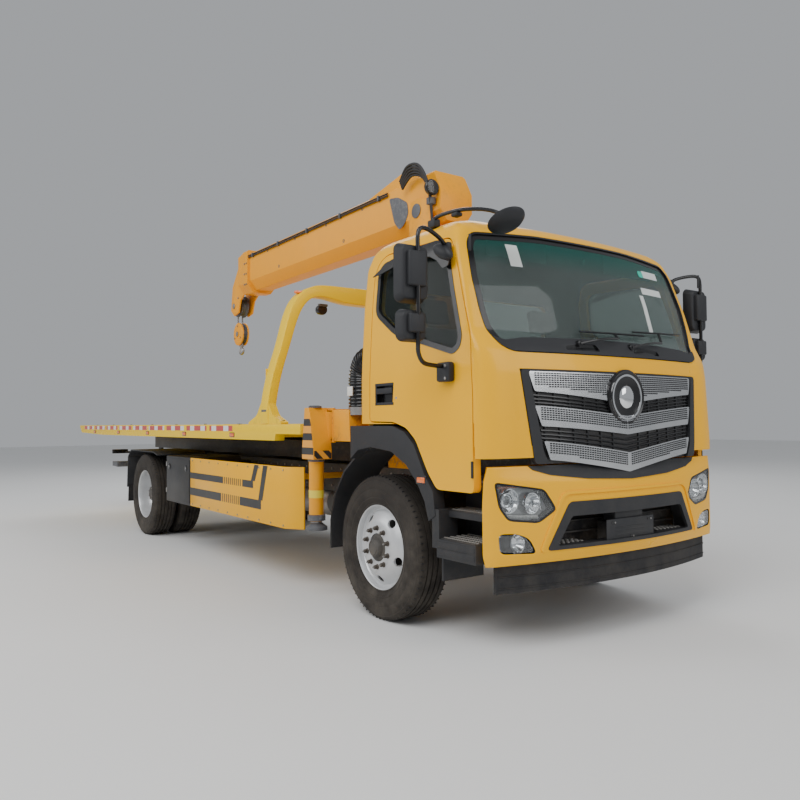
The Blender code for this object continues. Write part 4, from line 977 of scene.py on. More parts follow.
def buildGrille():
    full = both(grille["outline"])
    back = cabSkin("grilleBacking", chassisBlack, 0.022, 0.034, full, "X", 4.4, 5.1, 1.1, 1.74)
    finishPiece(back, stands=("grille_panel",), angle=40)
    inner = rounded(both([(0.69, 1.115), (0.735, 1.2), (0.815, 1.685)]), 0.02)
    frameRing = cabSkin(
        "grilleSurround", darkPlastic, -0.007, 0.022, rounded(grown(full, -0.001), 0.03), "X", 4.4, 5.1, 1.08,
        1.74, [inner],
    )
    finishPiece(frameRing)
    points, aims = [], []
    for i, bar in enumerate(grille["bars"]):
        outerTop, outerLow = bar[:2]
        steps = 10
        parts = [k / steps for k in range(steps + 1)]
        upper, lower = [[(bar[edge][0] * (1 - t), barEdge(bar, edge, t)) for t in parts] for edge in (0, 1)]
        outline = upper + [
            (-u, v) for u, v in reversed(upper[:-1])
        ] + [(-u, v) for u, v in lower] + list(reversed(lower[:-1]))
        skin = cabSkin(
            f"grilleBar{i + 1}", brightSteel, -0.002 - 0.004 * (i == 2), 0.01, rounded(outline, 0.012, 3),
            "X", 4.4, 5.1, 1.03, 1.74,
        )
        finishPiece(skin)
        inset = 0.022
        count = int((outerTop[0] - 0.045) / grille["holePitch"][0])
        for side in (-1, 1):
            for c in range(count):
                y = outerTop[0] - 0.052 - c * grille["holePitch"][0]
                top, low = barEdge(bar, 0, 1 - y / outerTop[0]), barEdge(
                    bar, 1, max(0.0, 1 - y / outerLow[0]),
                )
                rows = int((top - low - 2 * inset + 0.012) / grille["holePitch"][1])
                for r in range(rows):
                    z = top - 0.012 - r * grille["holePitch"][1]
                    if z < low + 0.024 or (
                        i == 0 and math.hypot(y, z - grille["emblem"][0]) < grille["emblem"][1] + 0.008
                    ):
                        continue
                    points.append(screenPoint(side * y, z, 0.0005 + 0.004 * (i == 2)))
                    aims.append((1, 0.19 * side * y, 0.06))
    repeated(
        "grillePerforations", blockTree, points, aims, "truck", glossBlack, "dark_plastic",
        Size=(0.0085, 0.0145, 0.006),
    )
    slats = Shape()
    for i, (topBar, lowBar) in enumerate(zip(grille["bars"], grille["bars"][1:])):
        for part in (0.28, 0.55, 0.8):
            for side in (-1, 1):
                path = []
                for k in range(11):
                    t = k / 10
                    upper, lower = barEdge(topBar, 1, t), barEdge(lowBar, 0, t)
                    y = (topBar[1][0] + (lowBar[0][0] - topBar[1][0]) * part) * (1 - t)
                    path.append(screenPoint(side * y, max(1.118, upper + (lower - upper) * part), -0.016))
                slats.tube(path, 0.0075, glossBlack, 6)
        for side in (-1, 1):
            for k in range(6):
                t = 0.05 + k * 0.155
                y = topBar[1][0] * (1 - t)
                upper, lower = barEdge(topBar, 1, t), barEdge(lowBar, 0, t)
                slats.tube(
                    [
                        screenPoint(side * y, upper + 0.005, -0.018),
                        screenPoint(side * y, max(1.118, lower - 0.005), -0.018),
                    ],
                    0.007, glossBlack, 6,
                )
    slats.piece("grilleSlats", angle=40)
    z, radius = grille["emblem"]
    badge = Shape()
    at = screenPoint(0, z)
    badge.spin(
        [
            (0, -0.012), (radius, -0.012), (radius, 0.006), (radius - 0.01, 0.014), (radius - 0.022, 0.008),
            (0, 0.008),
        ],
        at, "X", glossBlack, 64,
    )
    badge.spin(oblong(radius - 0.045, 0.006, radius - 0.032, 0.014), at, "X", mirrorChrome, 64)
    badge.spin(
        [(0, 0.006), (0.075, 0.006), (0.068, 0.014), (0.045, 0.021), (0, 0.024)], at, "X", mirrorChrome, 48,
    )
    badge.piece("plainRoundEmblem", slot="wheel_silver", angle=32)
    chinHalf = [(0.845, 1.132), (0.8, 1.092), (0.68, 1.058), (0.4, 1.026), (0.0, 1.008)]
    chin = bumperSkin("grilleChin", darkPlastic, -0.005, 0.014, both(chinHalf))
    finishPiece(chin)
    for side, sign in sides:  # the cab's corner below the panel, beside the grille
        corner = oblong(sign * 0.79, 1.165, sign * 1.2, 1.2365)
        apron = cabSkin(
            "cabCorner" + side.title(), cabYellow, 0.0, 0.03, corner, "X", frontAxle + 1.103, 5.1, 1.15, 1.25,
        )
        finishPiece(apron)


# doors with their window frames, visors, handles and mirrors
door = {"handle": (0.165, 1.575, 0.112, 0.074), "visorReach": 0.034}


def buildDoor(side, sign):
    body = "door_" + side
    low, high = (0.98, 1.3)
    near, far = sign * low, sign * high
    panel = cabSkin(
        "doorPanel" + side.title(), cabYellow, 0.0, cab["wall"], roundDoor, "Y", near, far, 0.956, 2.6,
        [roundWindow],
    )
    u, v, half, tall = door["handle"]
    cup = rounded(
        ahead([(u - half, v - tall), (u + half * 0.9, v - tall), (u + half, v + tall), (u - half, v + tall)]),
        0.024,
    )
    carve(panel, prismMesh(cup, "Y", sign * 1.115, far), surface=glossBlack)
    finishPiece(panel, body, ("door_" + side,), angle=28)
    pane = cabSkin(
        "doorPane" + side.title(), sideGlass, 0.02, 0.025, grown(roundWindow, -0.002), "Y", near, far, 1.72,
        2.56,
    )
    finishPiece(pane, body, ("door_glass_" + side,), angle=40)
    rim = cabSkin("windowFrame" + side.title(), glossBlack, -0.0035, 0.02, rounded(grown(doorWindow, 0.03),
                  0.06), "Y", near, far, 1.72, 2.58,
                  [grown(roundWindow, -0.006)])
    finishPiece(rim, body, angle=40)
    visor = ahead([
        (-0.005, 2.405), (0.12, 2.415), (0.3, 2.445), (0.52, 2.45), (0.66, 2.435), (0.74, 2.395),
        (0.8, 2.335), (0.862, 2.345),
        (0.855, 2.43), (0.8, 2.505), (0.7, 2.535), (0.4, 2.528), (0.2, 2.492),
    ])
    hood = cabSkin(
        "rainVisor" + side.title(), glossBlack, -door["visorReach"], -0.0265, rounded(visor, 0.02), "Y", near,
        far, 2.1, 2.62,
    )
    carve(hood, prismMesh(visor, "Y", near, far), "INTERSECT")
    finishPiece(hood, body, angle=40)
    grip = Shape()
    x, y = u + frontAxle, sign * 1.1465
    for edge in (-1, 1):
        grip.box(
            (x - half, y - 0.004, v + edge * (tall - 0.008) - 0.01),
            (x + half, y + 0.004, v + edge * (tall - 0.008) + 0.01), darkPlastic, 0.003,
        )
    grip.box(
        (x - half + 0.004, y - 0.006, v - tall), (x - half + 0.022, y + 0.004, v + tall), darkPlastic, 0.004,
    )
    grip.box(
        (x - half + 0.02, y - 0.008, v + 0.002), (x + half - 0.012, y + 0.006, v + 0.042), darkPlastic, 0.008,
    )
    grip.spin(
        [(0, -0.004), (0.011, -0.004), (0.009, 0.002), (0, 0.002)], (x + half + 0.03, y, v - 0.03), "Y",
        mirrorChrome, 20, sign,
    )
    for z in (1.1, 2.44):
        grip.box((4.604, y - 0.012, z - 0.05), (4.618, y + 0.001, z + 0.05), darkPlastic, 0.003)
    grip.piece("doorHandle" + side.title(), body)


def buildMirrors(side, sign):
    x = frontAxle + 0.87
    arm = Shape()
    path = [(x - 0.04, 1.125, 2.45), (x - 0.02, 1.18, 2.495), (x + 0.02, 1.29, 2.525), (x + 0.045, 1.375,
            2.53), (x + 0.05, 1.412, 2.49),
            (x + 0.05, 1.415, 2.36), (x + 0.05, 1.415, 2.1), (x + 0.045, 1.415, 1.86), (x + 0.03, 1.4, 1.785),
            (x + 0.01, 1.35, 1.735),
            (x, 1.27, 1.722), (x, 1.19, 1.72)]
    arm.tube([(a, sign * b, c) for a, b, c in path], 0.0135, glossBlack, 12, 4)
    arm.box((x - 0.065, sign * 1.1505, 1.625), (x + 0.06, sign * 1.2, 1.745), darkPlastic, 0.014)
    arm.box((x - 0.075, sign * 1.11, 2.42), (x + 0.0, sign * 1.15, 2.49), darkPlastic, 0.012)
    for z in (1.645, 1.72):
        arm.spin(
            [(0, 0), (0.009, 0), (0.009, 0.006), (0, 0.008)], (x + 0.03, sign * 1.2, z), "Y", rawSteel, 12,
            sign,
        )
    arm.piece("mirrorArm" + side.title(), "door_" + side, stands=("door_mirror_" + side,))
    for label, lowY, highY, lowZ, highZ, back, front in (
        ("Main", 1.312, 1.53, 2.085, 2.44, x - 0.045, x + 0.035),
        ("Wide", 1.325, 1.524, 1.855, 2.048, x - 0.04, x + 0.03),
    ):
        bm = bmesh.new()
        bmesh.ops.create_cube(bm, size=1.0)
        size = Vector((front - back, highY - lowY, highZ - lowZ))
        middle = Vector(((front + back) / 2, sign * (lowY + highY) / 2, (lowZ + highZ) / 2))
        bm.transform(Matrix.Translation(middle) @ Matrix.Diagonal((*size, 1)))
        bmesh.ops.bevel(
            bm, geom=[e for e in bm.edges if abs(e.verts[0].co.x - e.verts[1].co.x) > 1e-4], offset=0.045,
            segments=6, profile=0.5, affect="EDGES",
        )
        for vertex in bm.verts:  # the case narrows towards the front
            if vertex.co.x > middle.x:
                vertex.co.y = middle.y + (vertex.co.y - middle.y) * 0.86
                vertex.co.z = middle.z + (vertex.co.z - middle.z) * 0.9
        bmesh.ops.bevel(
            bm, geom=[e for e in bm.edges if e.calc_face_angle(0) > 0.9], offset=0.012, segments=3,
            profile=0.5, affect="EDGES", clamp_overlap=True,
        )
        case = Shape()
        case.add(bm, darkPlastic)
        tall = highZ - lowZ
        case.box(
            (front - 0.01, sign * (lowY + 0.045), lowZ + 0.26 * tall),
            (front + 0.032, sign * (highY - 0.045), highZ - 0.15 * tall), darkPlastic, 0.012, segments=3,
        )
        glassOutline = rounded(
            flip(oblong(lowY + 0.012, lowZ + 0.014, highY - 0.012, highZ - 0.014), sign), 0.035, 6,
        )
        case.prism(glassOutline, "X", back - 0.002, back + 0.003, mirrorChrome)
        case.piece("mirrorCase" + label + side.title(), "door_" + side)
    pod = Shape()
    bm = bmesh.new()
    bmesh.ops.create_uvsphere(bm, u_segments=32, v_segments=20, radius=1.0)
    bm.transform(
        Matrix.Translation((x - 0.045, sign * 1.15, 2.432)) @ Matrix.Rotation(0.5, 4, "Y")
        @ Matrix.Diagonal((0.098, 0.036, 0.044, 1))
    )
    pod.add(bm, darkPlastic)
    pod.box((x - 0.06, sign * 1.11, 2.41), (x - 0.03, sign * 1.15, 2.445), darkPlastic, 0.006)
    pod.piece("kerbMirrorPod" + side.title(), "door_" + side)


def buildFrontMirror():
    x = frontAxle
    arm = Shape()
    arm.tube(
        [
            (x + 0.5, -0.97, 2.715), (x + 0.57, -0.985, 2.735), (x + 0.75, -0.96, 2.738),
            (x + 0.92, -0.915, 2.712), (x + 1.04, -0.885, 2.665), (x + 1.09, -0.872, 2.61),
        ],
        0.013, glossBlack, 12, 4,
    )
    arm.box((x + 0.47, -1.0, 2.672), (x + 0.55, -0.945, 2.728), darkPlastic, 0.012)
    arm.box((x + 0.7, -0.985, 2.7), (x + 0.76, -0.93, 2.728), darkPlastic, 0.01)
    turn = Matrix.Translation((x + 1.1, -0.87, 2.6)) @ Matrix.Rotation(math.radians(-28), 4, "Y")
    arm.spin(
        [
            (0, -0.034), (0.04, -0.033), (0.075, -0.029), (0.1, -0.014), (0.117, 0.003), (0.12, 0.013),
            (0.112, 0.017), (0, 0.02),
        ],
        (0, 0, 0), "Z", darkPlastic, 48, turn=turn,
    )
    arm.spin(
        [(0.06, 0.016), (0.072, 0.024), (0.02, 0.034), (0, 0.034), (0, 0.016)], (0, 0, 0), "Z", darkPlastic,
        32, turn=turn,
    )
    arm.piece("frontKerbMirror", stands=("front_mirror",))


# bumper
bumper = {
    "nose": 4.86, "back": 4.636,
    "levels": ((0.54, 0.03), (0.6, 0.0), (0.9, 0.0), (1.03, 0.015), (1.115, 0.075)),
}
lampHalf = [(1.075, 1.03), (0.738, 0.977), (0.655, 0.852), (0.785, 0.777), (0.99, 0.8), (1.05, 0.88)]
fogHalf = [(0.8, 0.6), (1.045, 0.612), (1.055, 0.728), (0.93, 0.724), (0.85, 0.69)]
slotHalf = [(0.69, 0.63), (0.552, 0.86)]


def bumperInset(z):
    levels = bumper["levels"]
    z = min(max(z, levels[0][0]), levels[-1][0])
    taken = []
    for k in range(-3, 4):
        at = min(max(z + 0.018 * k / 3, levels[0][0]), levels[-1][0])
        for low, high in zip(levels, levels[1:]):
            if at <= high[0]:
                taken.append(low[1] + (high[1] - low[1]) * (at - low[0]) / (high[0] - low[0]))
                break
    return sum(taken) / len(taken)


def bumperFace(y, z, extra=0.0):
    inset = bumperInset(z)
    edge = 1.13
    fade = 1 - 0.9 * (min(abs(y), edge) / edge) ** 2
    side = 0.03 * max(0.0, (abs(y) - 1.06) / 0.07) ** 2
    return bumper["nose"] - inset * fade - side - 0.125 * y * y - extra


def bumperLoft(extra, thick=0.11, low=0.54, high=1.115):
    steps = max(3, round((high - low) / 0.018))
    bm, made = bmesh.new(), []
    for k in range(steps + 1):
        z = low + (high - low) * k / steps
        edge = 1.13 - bumperInset(z) * 0.4
        ys = [edge * math.sin(math.pi / 2 * j / 24) for j in range(24, 0, -1)]
        ys = ys + [0.0] + [-y for y in reversed(ys)]
        front = [(bumperFace(y, z, extra), y, z) for y in ys]
        back = [(max(x - thick, bumper["back"]), y * 0.97, z) for x, y, z in front]
        made.append([bm.verts.new(p) for p in front + list(reversed(back))])
    for a, b in zip(made, made[1:]):
        for k in range(len(a)):
            n = (k + 1) % len(a)
            bm.faces.new((a[k], a[n], b[n], b[k]))
    bm.faces.new(made[0])
    bm.faces.new(list(reversed(made[-1])))
    bmesh.ops.recalc_face_normals(bm, faces=bm.faces)
    return bm


def bumperSkin(name, surface, outer, inner, outline, holes=()):
    made = fromBmesh(name, bumperLoft(outer, inner - outer), surface)
    carve(made, prismMesh(outline, "X", 4.3, 5.0), "INTERSECT")
    for hole in holes:
        carve(made, prismMesh(hole, "X", 4.3, 5.0))
    return made


def buildBumper():
    shell = fromBmesh("frontBumper", bumperLoft(0.0), cabYellow)
    slot = rounded(both(slotHalf), 0.035)
    carve(shell, prismMesh(slot, "X", 4.3, 5.0), surface=darkPlastic)
    for side, sign in sides:
        outline = rounded(flip(lampHalf, sign), 0.03)
        carve(shell, prismMesh(outline, "X", 4.3, 5.0), surface=glossBlack)
        fog = rounded(flip(fogHalf, sign), 0.035)
        # the fog-lamp pocket walls are gloss black: partly the lamp's black housing, partly painted shade for
        # the dark gap round the glass
        carve(shell, prismMesh(fog, "X", 4.66, 5.0), surface=glossBlack)
    steps = shell.modifiers.new("soften", "BEVEL")
    steps.width, steps.segments, steps.limit_method, steps.angle_limit = 0.003, 2, "ANGLE", math.radians(55)
    settle(shell)
    finishPiece(shell, stands=("front_bumper",), angle=28)
    ringOutline = rounded(both([(0.73, 0.61), (0.56, 0.893)]), 0.03)
    hole = rounded(both([(0.655, 0.634), (0.545, 0.806)]), 0.02)
    trim = bumperSkin("bumperSlotFrame", darkPlastic, -0.006, 0.012, ringOutline, [hole])
    finishPiece(trim)
    seam = bumperSkin("bumperCrease", cabYellow, -0.01, 0.006, rounded(both([(0.79, 0.6), (0.612, 0.955)]),
                      0.05),
                      [rounded(both([(0.774, 0.59), (0.598, 0.939)]), 0.05)])
    finishPiece(seam)
    inside = Shape()
    inside.box((4.638, -0.72, 0.6), (4.644, 0.72, 0.9), chassisBlack, 0)
    for z in (0.68, 0.75, 0.82):
        inside.box((4.66, -0.66, z - 0.006), (4.68, 0.66, z + 0.006), chassisBlack, 0.003)
    for side, sign in sides:
        inside.box((4.62, sign * 0.36, 0.605), (4.7745, sign * 0.66, 0.632), darkPlastic, 0.004)
        for i, j in [(i, j) for i in range(14) for j in range(5) if (i + j) % 2 == 0]:
            y0, x0 = sign * (0.372 + i * 0.0205), 4.655 + j * 0.0215
            inside.box((x0, y0, 0.6318), (x0 + 0.02, y0 + sign * 0.019, 0.637), padGrey, 0.0015, segments=1)
    inside.box((4.7, -0.17, 0.6), (4.842, 0.13, 0.74), chassisBlack, 0.006)
    inside.box((4.842, -0.255, 0.6), (4.85, 0.215, 0.76), darkPlastic, 0.004)
    for y, z in ((-0.2, 0.738), (0.16, 0.738), (-0.2, 0.622), (0.16, 0.622), (-0.02, 0.64)):
        inside.spin(puck(0.009, -0.002, 0.002), (4.85, y, z), "X", glossBlack, 12)
        inside.spin(puck(0.006, -0.002, 0.003), (4.85, y + 0.024, z), "X", rawSteel, 12)
    for z in (0.655, 0.68, 0.705):
        inside.box((4.849, -0.17, z - 0.003), (4.852, 0.13, z + 0.003), darkPlastic, 0.001)
    inside.box((4.74, -0.16, 0.74), (4.838, 0.12, 0.86), darkPlastic, 0.01)
    inside.piece("bumperSlotFittings")
    lip = Shape()
    path = [(bumper["nose"] - 0.05 - 0.125 * y * y, y) for y in [1.034 - 2.068 * k / 24 for k in range(25)]]
    lip.prism(path + [(x - 0.022, y) for x, y in reversed(path)], "Z", 0.369, 0.5394, lipRubber)
    for z in (0.4, 0.47):
        lip.tube([(x + 0.001, y, z) for x, y in path], 0.004, lipRubber, 6)
    lip.piece("airDeflectorLip", slot="lip_rubber", stands=("air_deflector",))
    for side, sign in sides:
        fog = Shape()
        # the glass stops 8 mm inside the pocket edge, so a ring of black wall shows round it as painted shade
        outline = rounded(flip(grown(fogHalf, -0.008), sign), 0.03)
        glass = bumperSkin("fogLampGlass" + side.title(), lampGlass, 0.004, 0.009, outline)
        finishPiece(glass, angle=40)
        x = bumperFace(0.93, 0.66) - 0.05
        fog.spin(
            [
                (0, -0.02), (0.03, -0.01), (0.052, 0.02), (0.056, 0.03), (0.06, 0.03), (0.06, -0.03),
                (0, -0.03),
            ],
            (x, sign * 0.915, 0.663), "X", mirrorChrome, 32,
        )
        fog.piece("fogLampBowl" + side.title(), slot="lamp_lens")


def buildHeadlamp(side, sign):
    outline = rounded(flip(grown(lampHalf, -0.003), sign), 0.028)
    lens = bumperSkin("headlampGlass" + side.title(), lampGlass, 0.002, 0.006, outline)
    finishPiece(lens, stands=("headlamp_" + side,), angle=40)
    edge = bumperSkin(
        "headlampEdge" + side.title(), glossBlack, -0.001, 0.007, grown(outline, 0.001),
        [grown(outline, -0.009)],
    )
    finishPiece(edge, angle=40)
    inside = Shape()
    back = bumperSkin("headlampBed" + side.title(), wheelSilver, 0.075, 0.085, grown(outline, -0.004))
    finishPiece(back)
    for y, z, radius, glow in ((0.965, 0.915, 0.066, True), (0.815, 0.895, 0.058, False)):
        x = bumperFace(y, z) - 0.055
        bowl = [
            (0.0, -0.018), (radius * 0.55, -0.012), (radius * 0.85, 0.012), (radius, 0.034),
            (radius + 0.006, 0.034), (radius + 0.006, -0.03), (0, -0.03),
        ]
        inside.spin(bowl, (x, sign * y, z), "X", mirrorChrome, 48)
        if glow:
            inside.spin(
                [(0, 0.03), (0.018, 0.026), (0.034, 0.012), (0.038, -0.01), (0, -0.01)], (x, sign * y, z),
                "X", lampGlass, 40,
            )
            inside.spin(
                [(0.038, -0.012), (0.046, -0.012), (0.046, 0.014), (0.04, 0.018), (0.038, 0.012)],
                (x, sign * y, z), "X", mirrorChrome, 40,
            )
        else:
            inside.spin(
                [(0, 0.02), (0.014, 0.014), (0.014, -0.012), (0, -0.012)], (x, sign * y, z), "X", lampGlass,
                24,
            )
    strip = [(0.775, 0.812), (0.86, 0.817), (0.95, 0.823), (0.995, 0.834), (1.03, 0.885), (1.043, 0.93)]
    path = smoothPath([(bumperFace(y, z) - 0.028, sign * y, z) for y, z in strip], 8)
    inside.tube(path, 0.01, labelWhite, 8)
    for k in range(4):  # reflector facets towards the centre
        z = 0.965 - k * 0.035
        inside.box(
            (bumperFace(0.74, z) - 0.075, sign * (0.705 + k * 0.012), z - 0.014),
            (bumperFace(0.74, z) - 0.045, sign * (0.755 - k * 0.01), z + 0.014), mirrorChrome, 0.004,
        )
    inside.box(
        (bumperFace(1.0, 1.0) - 0.07, sign * 0.8, 0.985), (bumperFace(1.0, 1.0) - 0.045, sign * 1.02, 1.0),
        amberLens, 0.003,
    )
    inside.piece("headlampUnits" + side.title(), slot="lamp_lens", angle=32)
    points, aims = [], []
    for k in range(0, len(path), 2):
        points.append(path[k] + Vector((0.01, 0, 0)))
        aims.append((1, 0, 0))
    studs("lampLightDots" + side.title(), points, aims, "truck", lampGlass, 0.006, 0.004, 12, "lamp_lens")


# fenders, steps and side markers
def buildFender(side, sign):
    refined(
        "front_fender_" + side, "truck", darkPlastic, 0.01, 38, 3, "frontFender" + side.title(),
    )
    x = frontAxle
    extra = Shape()
    extra.box((x + 0.735, sign * 0.885, 0.659), (x + 1.085, sign * 1.14, 0.664), chassisBlack, 0.002)
    extra.box((x + 0.72, sign * 0.875, 0.829), (x + 1.075, sign * 1.062, 0.834), chassisBlack, 0.002)
    for low, high in (
        ((x + 0.745, 1.1505, 0.565), (x + 1.09, 1.1525, 0.6)),
        ((x + 0.745, 1.1505, 0.61), (x + 1.09, 1.1525, 0.645)),
    ):
        extra.box((low[0], sign * low[1], low[2]), (high[0], sign * high[1], high[2]), darkPlastic, 0.001)
    extra.box((x + 0.545, sign * 1.15, 0.995), (x + 0.625, sign * 1.16, 1.03), amberLens, 0.006)
    extra.box((x + 0.53, sign * 1.15, 0.985), (x + 0.64, sign * 1.1555, 1.04), glossBlack, 0.006)
    extra.piece("stepAndMarker" + side.title())
    points = []
    for i in range(15):
        for j in range(5):
            points.append((x + 0.755 + i * 0.0225, sign * (0.905 + j * 0.05), 0.6665))
    for i in range(15):
        for j in range(4):
            points.append((x + 0.735 + i * 0.0225, sign * (0.9 + j * 0.045), 0.8365))
    studs(
        "stepTreadDimples" + side.title(), points, (0, 0, 1), "truck", padGrey, 0.0085, 0.006, 8,
        "steel_grey",
    )
    liner = Shape()
    flap = [(x - 0.722, 0.44), (x - 0.712, 0.44), (x - 0.69, 0.62), (x - 0.7, 0.62)]
    liner.prism(flap, "Y", sign * 0.78, sign * 1.07, lipRubber)
    liner.piece("frontFlap" + side.title(), slot="lip_rubber")


# wheels
wheel = {"frontY": 0.975, "twinY": 0.8955, "twinGap": 0.1575, "nuts": 10, "holes": 5}


def tyreProfile(centre, out):
    half = [
        (0.2905, 0.104), (0.3, 0.116), (0.306, 0.118), (0.312, 0.1165), (0.33, 0.1275), (0.345, 0.1335),
        (0.352, 0.132), (0.358, 0.1345),
        (0.385, 0.1375), (0.405, 0.1378), (0.409, 0.1362), (0.414, 0.1376), (0.44, 0.136), (0.462, 0.13),
        (0.47, 0.1265), (0.475, 0.1275),
        (0.488, 0.1185), (0.497, 0.11), (0.5025, 0.098), (0.5045, 0.082),
    ]
    grooves = []
    for at in (0.062, 0.021):
        grooves += [(0.505, at + 0.006), (0.4935, at + 0.0045), (0.4935, at - 0.0045), (0.505, at - 0.006)]
    half = half + grooves
    return [(r, (centre + y) * out) for r, y in half] + [(r, (centre - y) * out) for r, y in reversed(half)]


def addTread(name, body, at, sign, centre):
    points, aims = [], []
    for i in range(72):
        a = 2 * math.pi * i / 72
        for side in (-1, 1):
            points.append(
                Vector(at)
                + Vector((0.4995 * math.cos(a), sign * (centre + side * 0.1045), 0.4995 * math.sin(a)))
            )
            aims.append((math.cos(a), 0, math.sin(a)))
    return repeated(
        name, blockTree, points, aims, body, lipRubber, "tyre_rubber", Size=(0.0045, 0.022, 0.0085),
    )


def buildFrontWheel(side, sign):
    at, body, label = (frontAxle, sign * wheel["frontY"], hubHeight), "front_wheel_" + side, side.title()
    tyre = Shape()
    tyre.spin(tyreProfile(0.0, sign), at, "Y", tyreRubber, 112)
    tyre.piece("frontTyre" + label, body, "tyre_rubber", ("front_tyre_" + side,), angle=24)
    addTread("frontTread" + label, body, at, sign, 0.0)
    disc = [
        (0.098, 0.128), (0.15, 0.128), (0.172, 0.1265), (0.196, 0.119), (0.222, 0.102), (0.246, 0.08),
        (0.262, 0.066), (0.276, 0.066),
        (0.283, 0.074), (0.285, 0.098), (0.29, 0.11), (0.296, 0.1145), (0.2975, 0.112), (0.2965, 0.106),
        (0.2885, 0.103), (0.2885, -0.103), (0.2965, -0.109),
        (0.2975, -0.112), (0.279, -0.111), (0.277, 0.02), (0.262, 0.052), (0.244, 0.066), (0.22, 0.088),
        (0.194, 0.105), (0.17, 0.112), (0.098, 0.112),
    ]
    rim = fromBmesh("frontRim" + label, spinMesh([(r, y * sign) for r, y in disc], at, "Y", 120), wheelSilver)
    for k in range(wheel["holes"]):  # oblong hand holes through the disc
        a = math.radians(52 + 72 * k)
        hole = [
            (0.222 + 0.024 * math.cos(t), 0.034 * math.sin(t))
            for t in [2 * math.pi * j / 24 for j in range(24)]
        ]
        turned = [
            (at[0] + r * math.cos(a) - s * math.sin(a), at[2] + r * math.sin(a) + s * math.cos(a)) for r,
            s in hole
        ]
        carve(rim, prismMesh(turned, "Y", at[1] + sign * 0.03, at[1] + sign * 0.16), surface=wheelSilver)
    finishPiece(rim, body, ("front_rim_" + side,), angle=30)
    hub = Shape()
    hub.spin([(0, 0.168), (0.04, 0.168), (0.058, 0.164), (0.064, 0.156), (0.068, 0.13), (0.092, 0.126),
             (0.098, 0.118), (0.098, 0.06), (0, 0.06)],
             at, "Y", castIron, 64, sign)
    hub.spin([(0.04, 0.168), (0.046, 0.172), (0.052, 0.166), (0.046, 0.16)], at, "Y", castIron, 48, sign)
    for k in range(wheel["nuts"]):
        a = math.radians(18 + 36 * k)
        c = (at[0] + 0.1355 * math.cos(a), at[1], at[2] + 0.1355 * math.sin(a))
        hub.spin(
            [
                (0, 0.158), (0.011, 0.158), (0.014, 0.154), (0.0145, 0.136), (0.0185, 0.133), (0.0195, 0.126),
                (0, 0.126),
            ],
            c, "Y", sleeveBrown, 16, sign,
        )
        hub.spin([(0, 0.169), (0.006, 0.169), (0.007, 0.158), (0, 0.158)], c, "Y", rawSteel, 10, sign)
    valve = [
        (at[0] + 0.25 * math.cos(-0.4), at[1] + sign * 0.075, at[2] + 0.25 * math.sin(-0.4)),
        (at[0] + 0.245 * math.cos(-0.4), at[1] + sign * 0.125, at[2] + 0.245 * math.sin(-0.4)),
    ]
    hub.tube(valve, 0.004, rawSteel, 8)
    hub.piece("frontHub" + label, body, "wheel_silver", angle=32)


def buildRearWheel(side, sign):
    at, body, label = (rearAxle, sign * wheel["twinY"], hubHeight), "rear_wheels_" + side, side.title()
    tyres = Shape()
    for centre in (wheel["twinGap"], -wheel["twinGap"]):
        tyres.spin(tyreProfile(centre, sign), at, "Y", tyreRubber, 112)
    tyres.piece("rearTyres" + label, body, "tyre_rubber", ("rear_wheels_" + side,), angle=24)
    addTread("rearTreadOuter" + label, body, at, sign, wheel["twinGap"])
    addTread("rearTreadInner" + label, body, at, sign, -wheel["twinGap"])
    dish = [
        (0.104, 0.052), (0.15, 0.046), (0.185, 0.05), (0.215, 0.06), (0.238, 0.078), (0.262, 0.112),
        (0.274, 0.15), (0.279, 0.2), (0.281, 0.252),
        (0.287, 0.266), (0.295, 0.2715), (0.2975, 0.269), (0.2965, 0.263), (0.2885, 0.2595), (0.2885, 0.055),
        (0.2965, 0.05), (0.285, 0.04), (0.27, 0.046),
        (0.232, 0.05), (0.21, 0.04), (0.15, 0.032), (0.104, 0.034),
    ]
    rim = fromBmesh(
        "rearOuterRim" + label, spinMesh([(r, y * sign) for r, y in dish], at, "Y", 112), wheelSilver,
    )
    for k in range(wheel["holes"] * 2):
        a = math.radians(10 + 36 * k)
        hole = [
            (0.226 + 0.016 * math.cos(t), 0.023 * math.sin(t))
            for t in [2 * math.pi * j / 18 for j in range(18)]
        ]
        turned = [
            (at[0] + r * math.cos(a) - s * math.sin(a), at[2] + r * math.sin(a) + s * math.cos(a)) for r,
            s in hole
        ]
        carve(rim, prismMesh(turned, "Y", at[1] + sign * 0.01, at[1] + sign * 0.13), surface=wheelSilver)
    finishPiece(rim, body, angle=30)
    inner = Shape()
    mirrored = [(0.2965, -0.05), (0.2885, -0.055), (0.2885, -0.2595), (0.2965, -0.263), (0.2975, -0.269),
                (0.279, -0.266), (0.277, -0.07), (0.23, -0.04), (0.12, -0.02),
                (0.12, 0.03), (0.21, 0.036), (0.27, 0.04)]
    inner.spin(mirrored, at, "Y", wheelSilver, 96, sign)
    hub = [
        (0, 0.205), (0.062, 0.205), (0.08, 0.198), (0.094, 0.182), (0.099, 0.15), (0.104, 0.07),
        (0.112, 0.053), (0.112, 0.03), (0, 0.03),
    ]
    inner.spin(hub, at, "Y", castIron, 64, sign)
    for k in range(wheel["nuts"]):
        a = math.radians(9 + 36 * k)
        c = (at[0] + 0.1355 * math.cos(a), at[1], at[2] + 0.1355 * math.sin(a))
        inner.spin(
            [(0, 0.078), (0.012, 0.078), (0.0185, 0.07), (0.0195, 0.045), (0, 0.045)], c, "Y", sleeveBrown,
            14, sign,
        )
    for k in range(8):
        a = math.radians(22 + 45 * k)
        c = (at[0] + 0.074 * math.cos(a), at[1], at[2] + 0.074 * math.sin(a))
        inner.spin([(0, 0.207), (0.007, 0.207), (0.009, 0.196), (0, 0.19)], c, "Y", rawSteel, 6, sign)
    inner.piece("rearHub" + label, body, "wheel_silver", angle=32)


# deck and everything on it
deck = {"half": 1.25, "floorTop": 1.347}


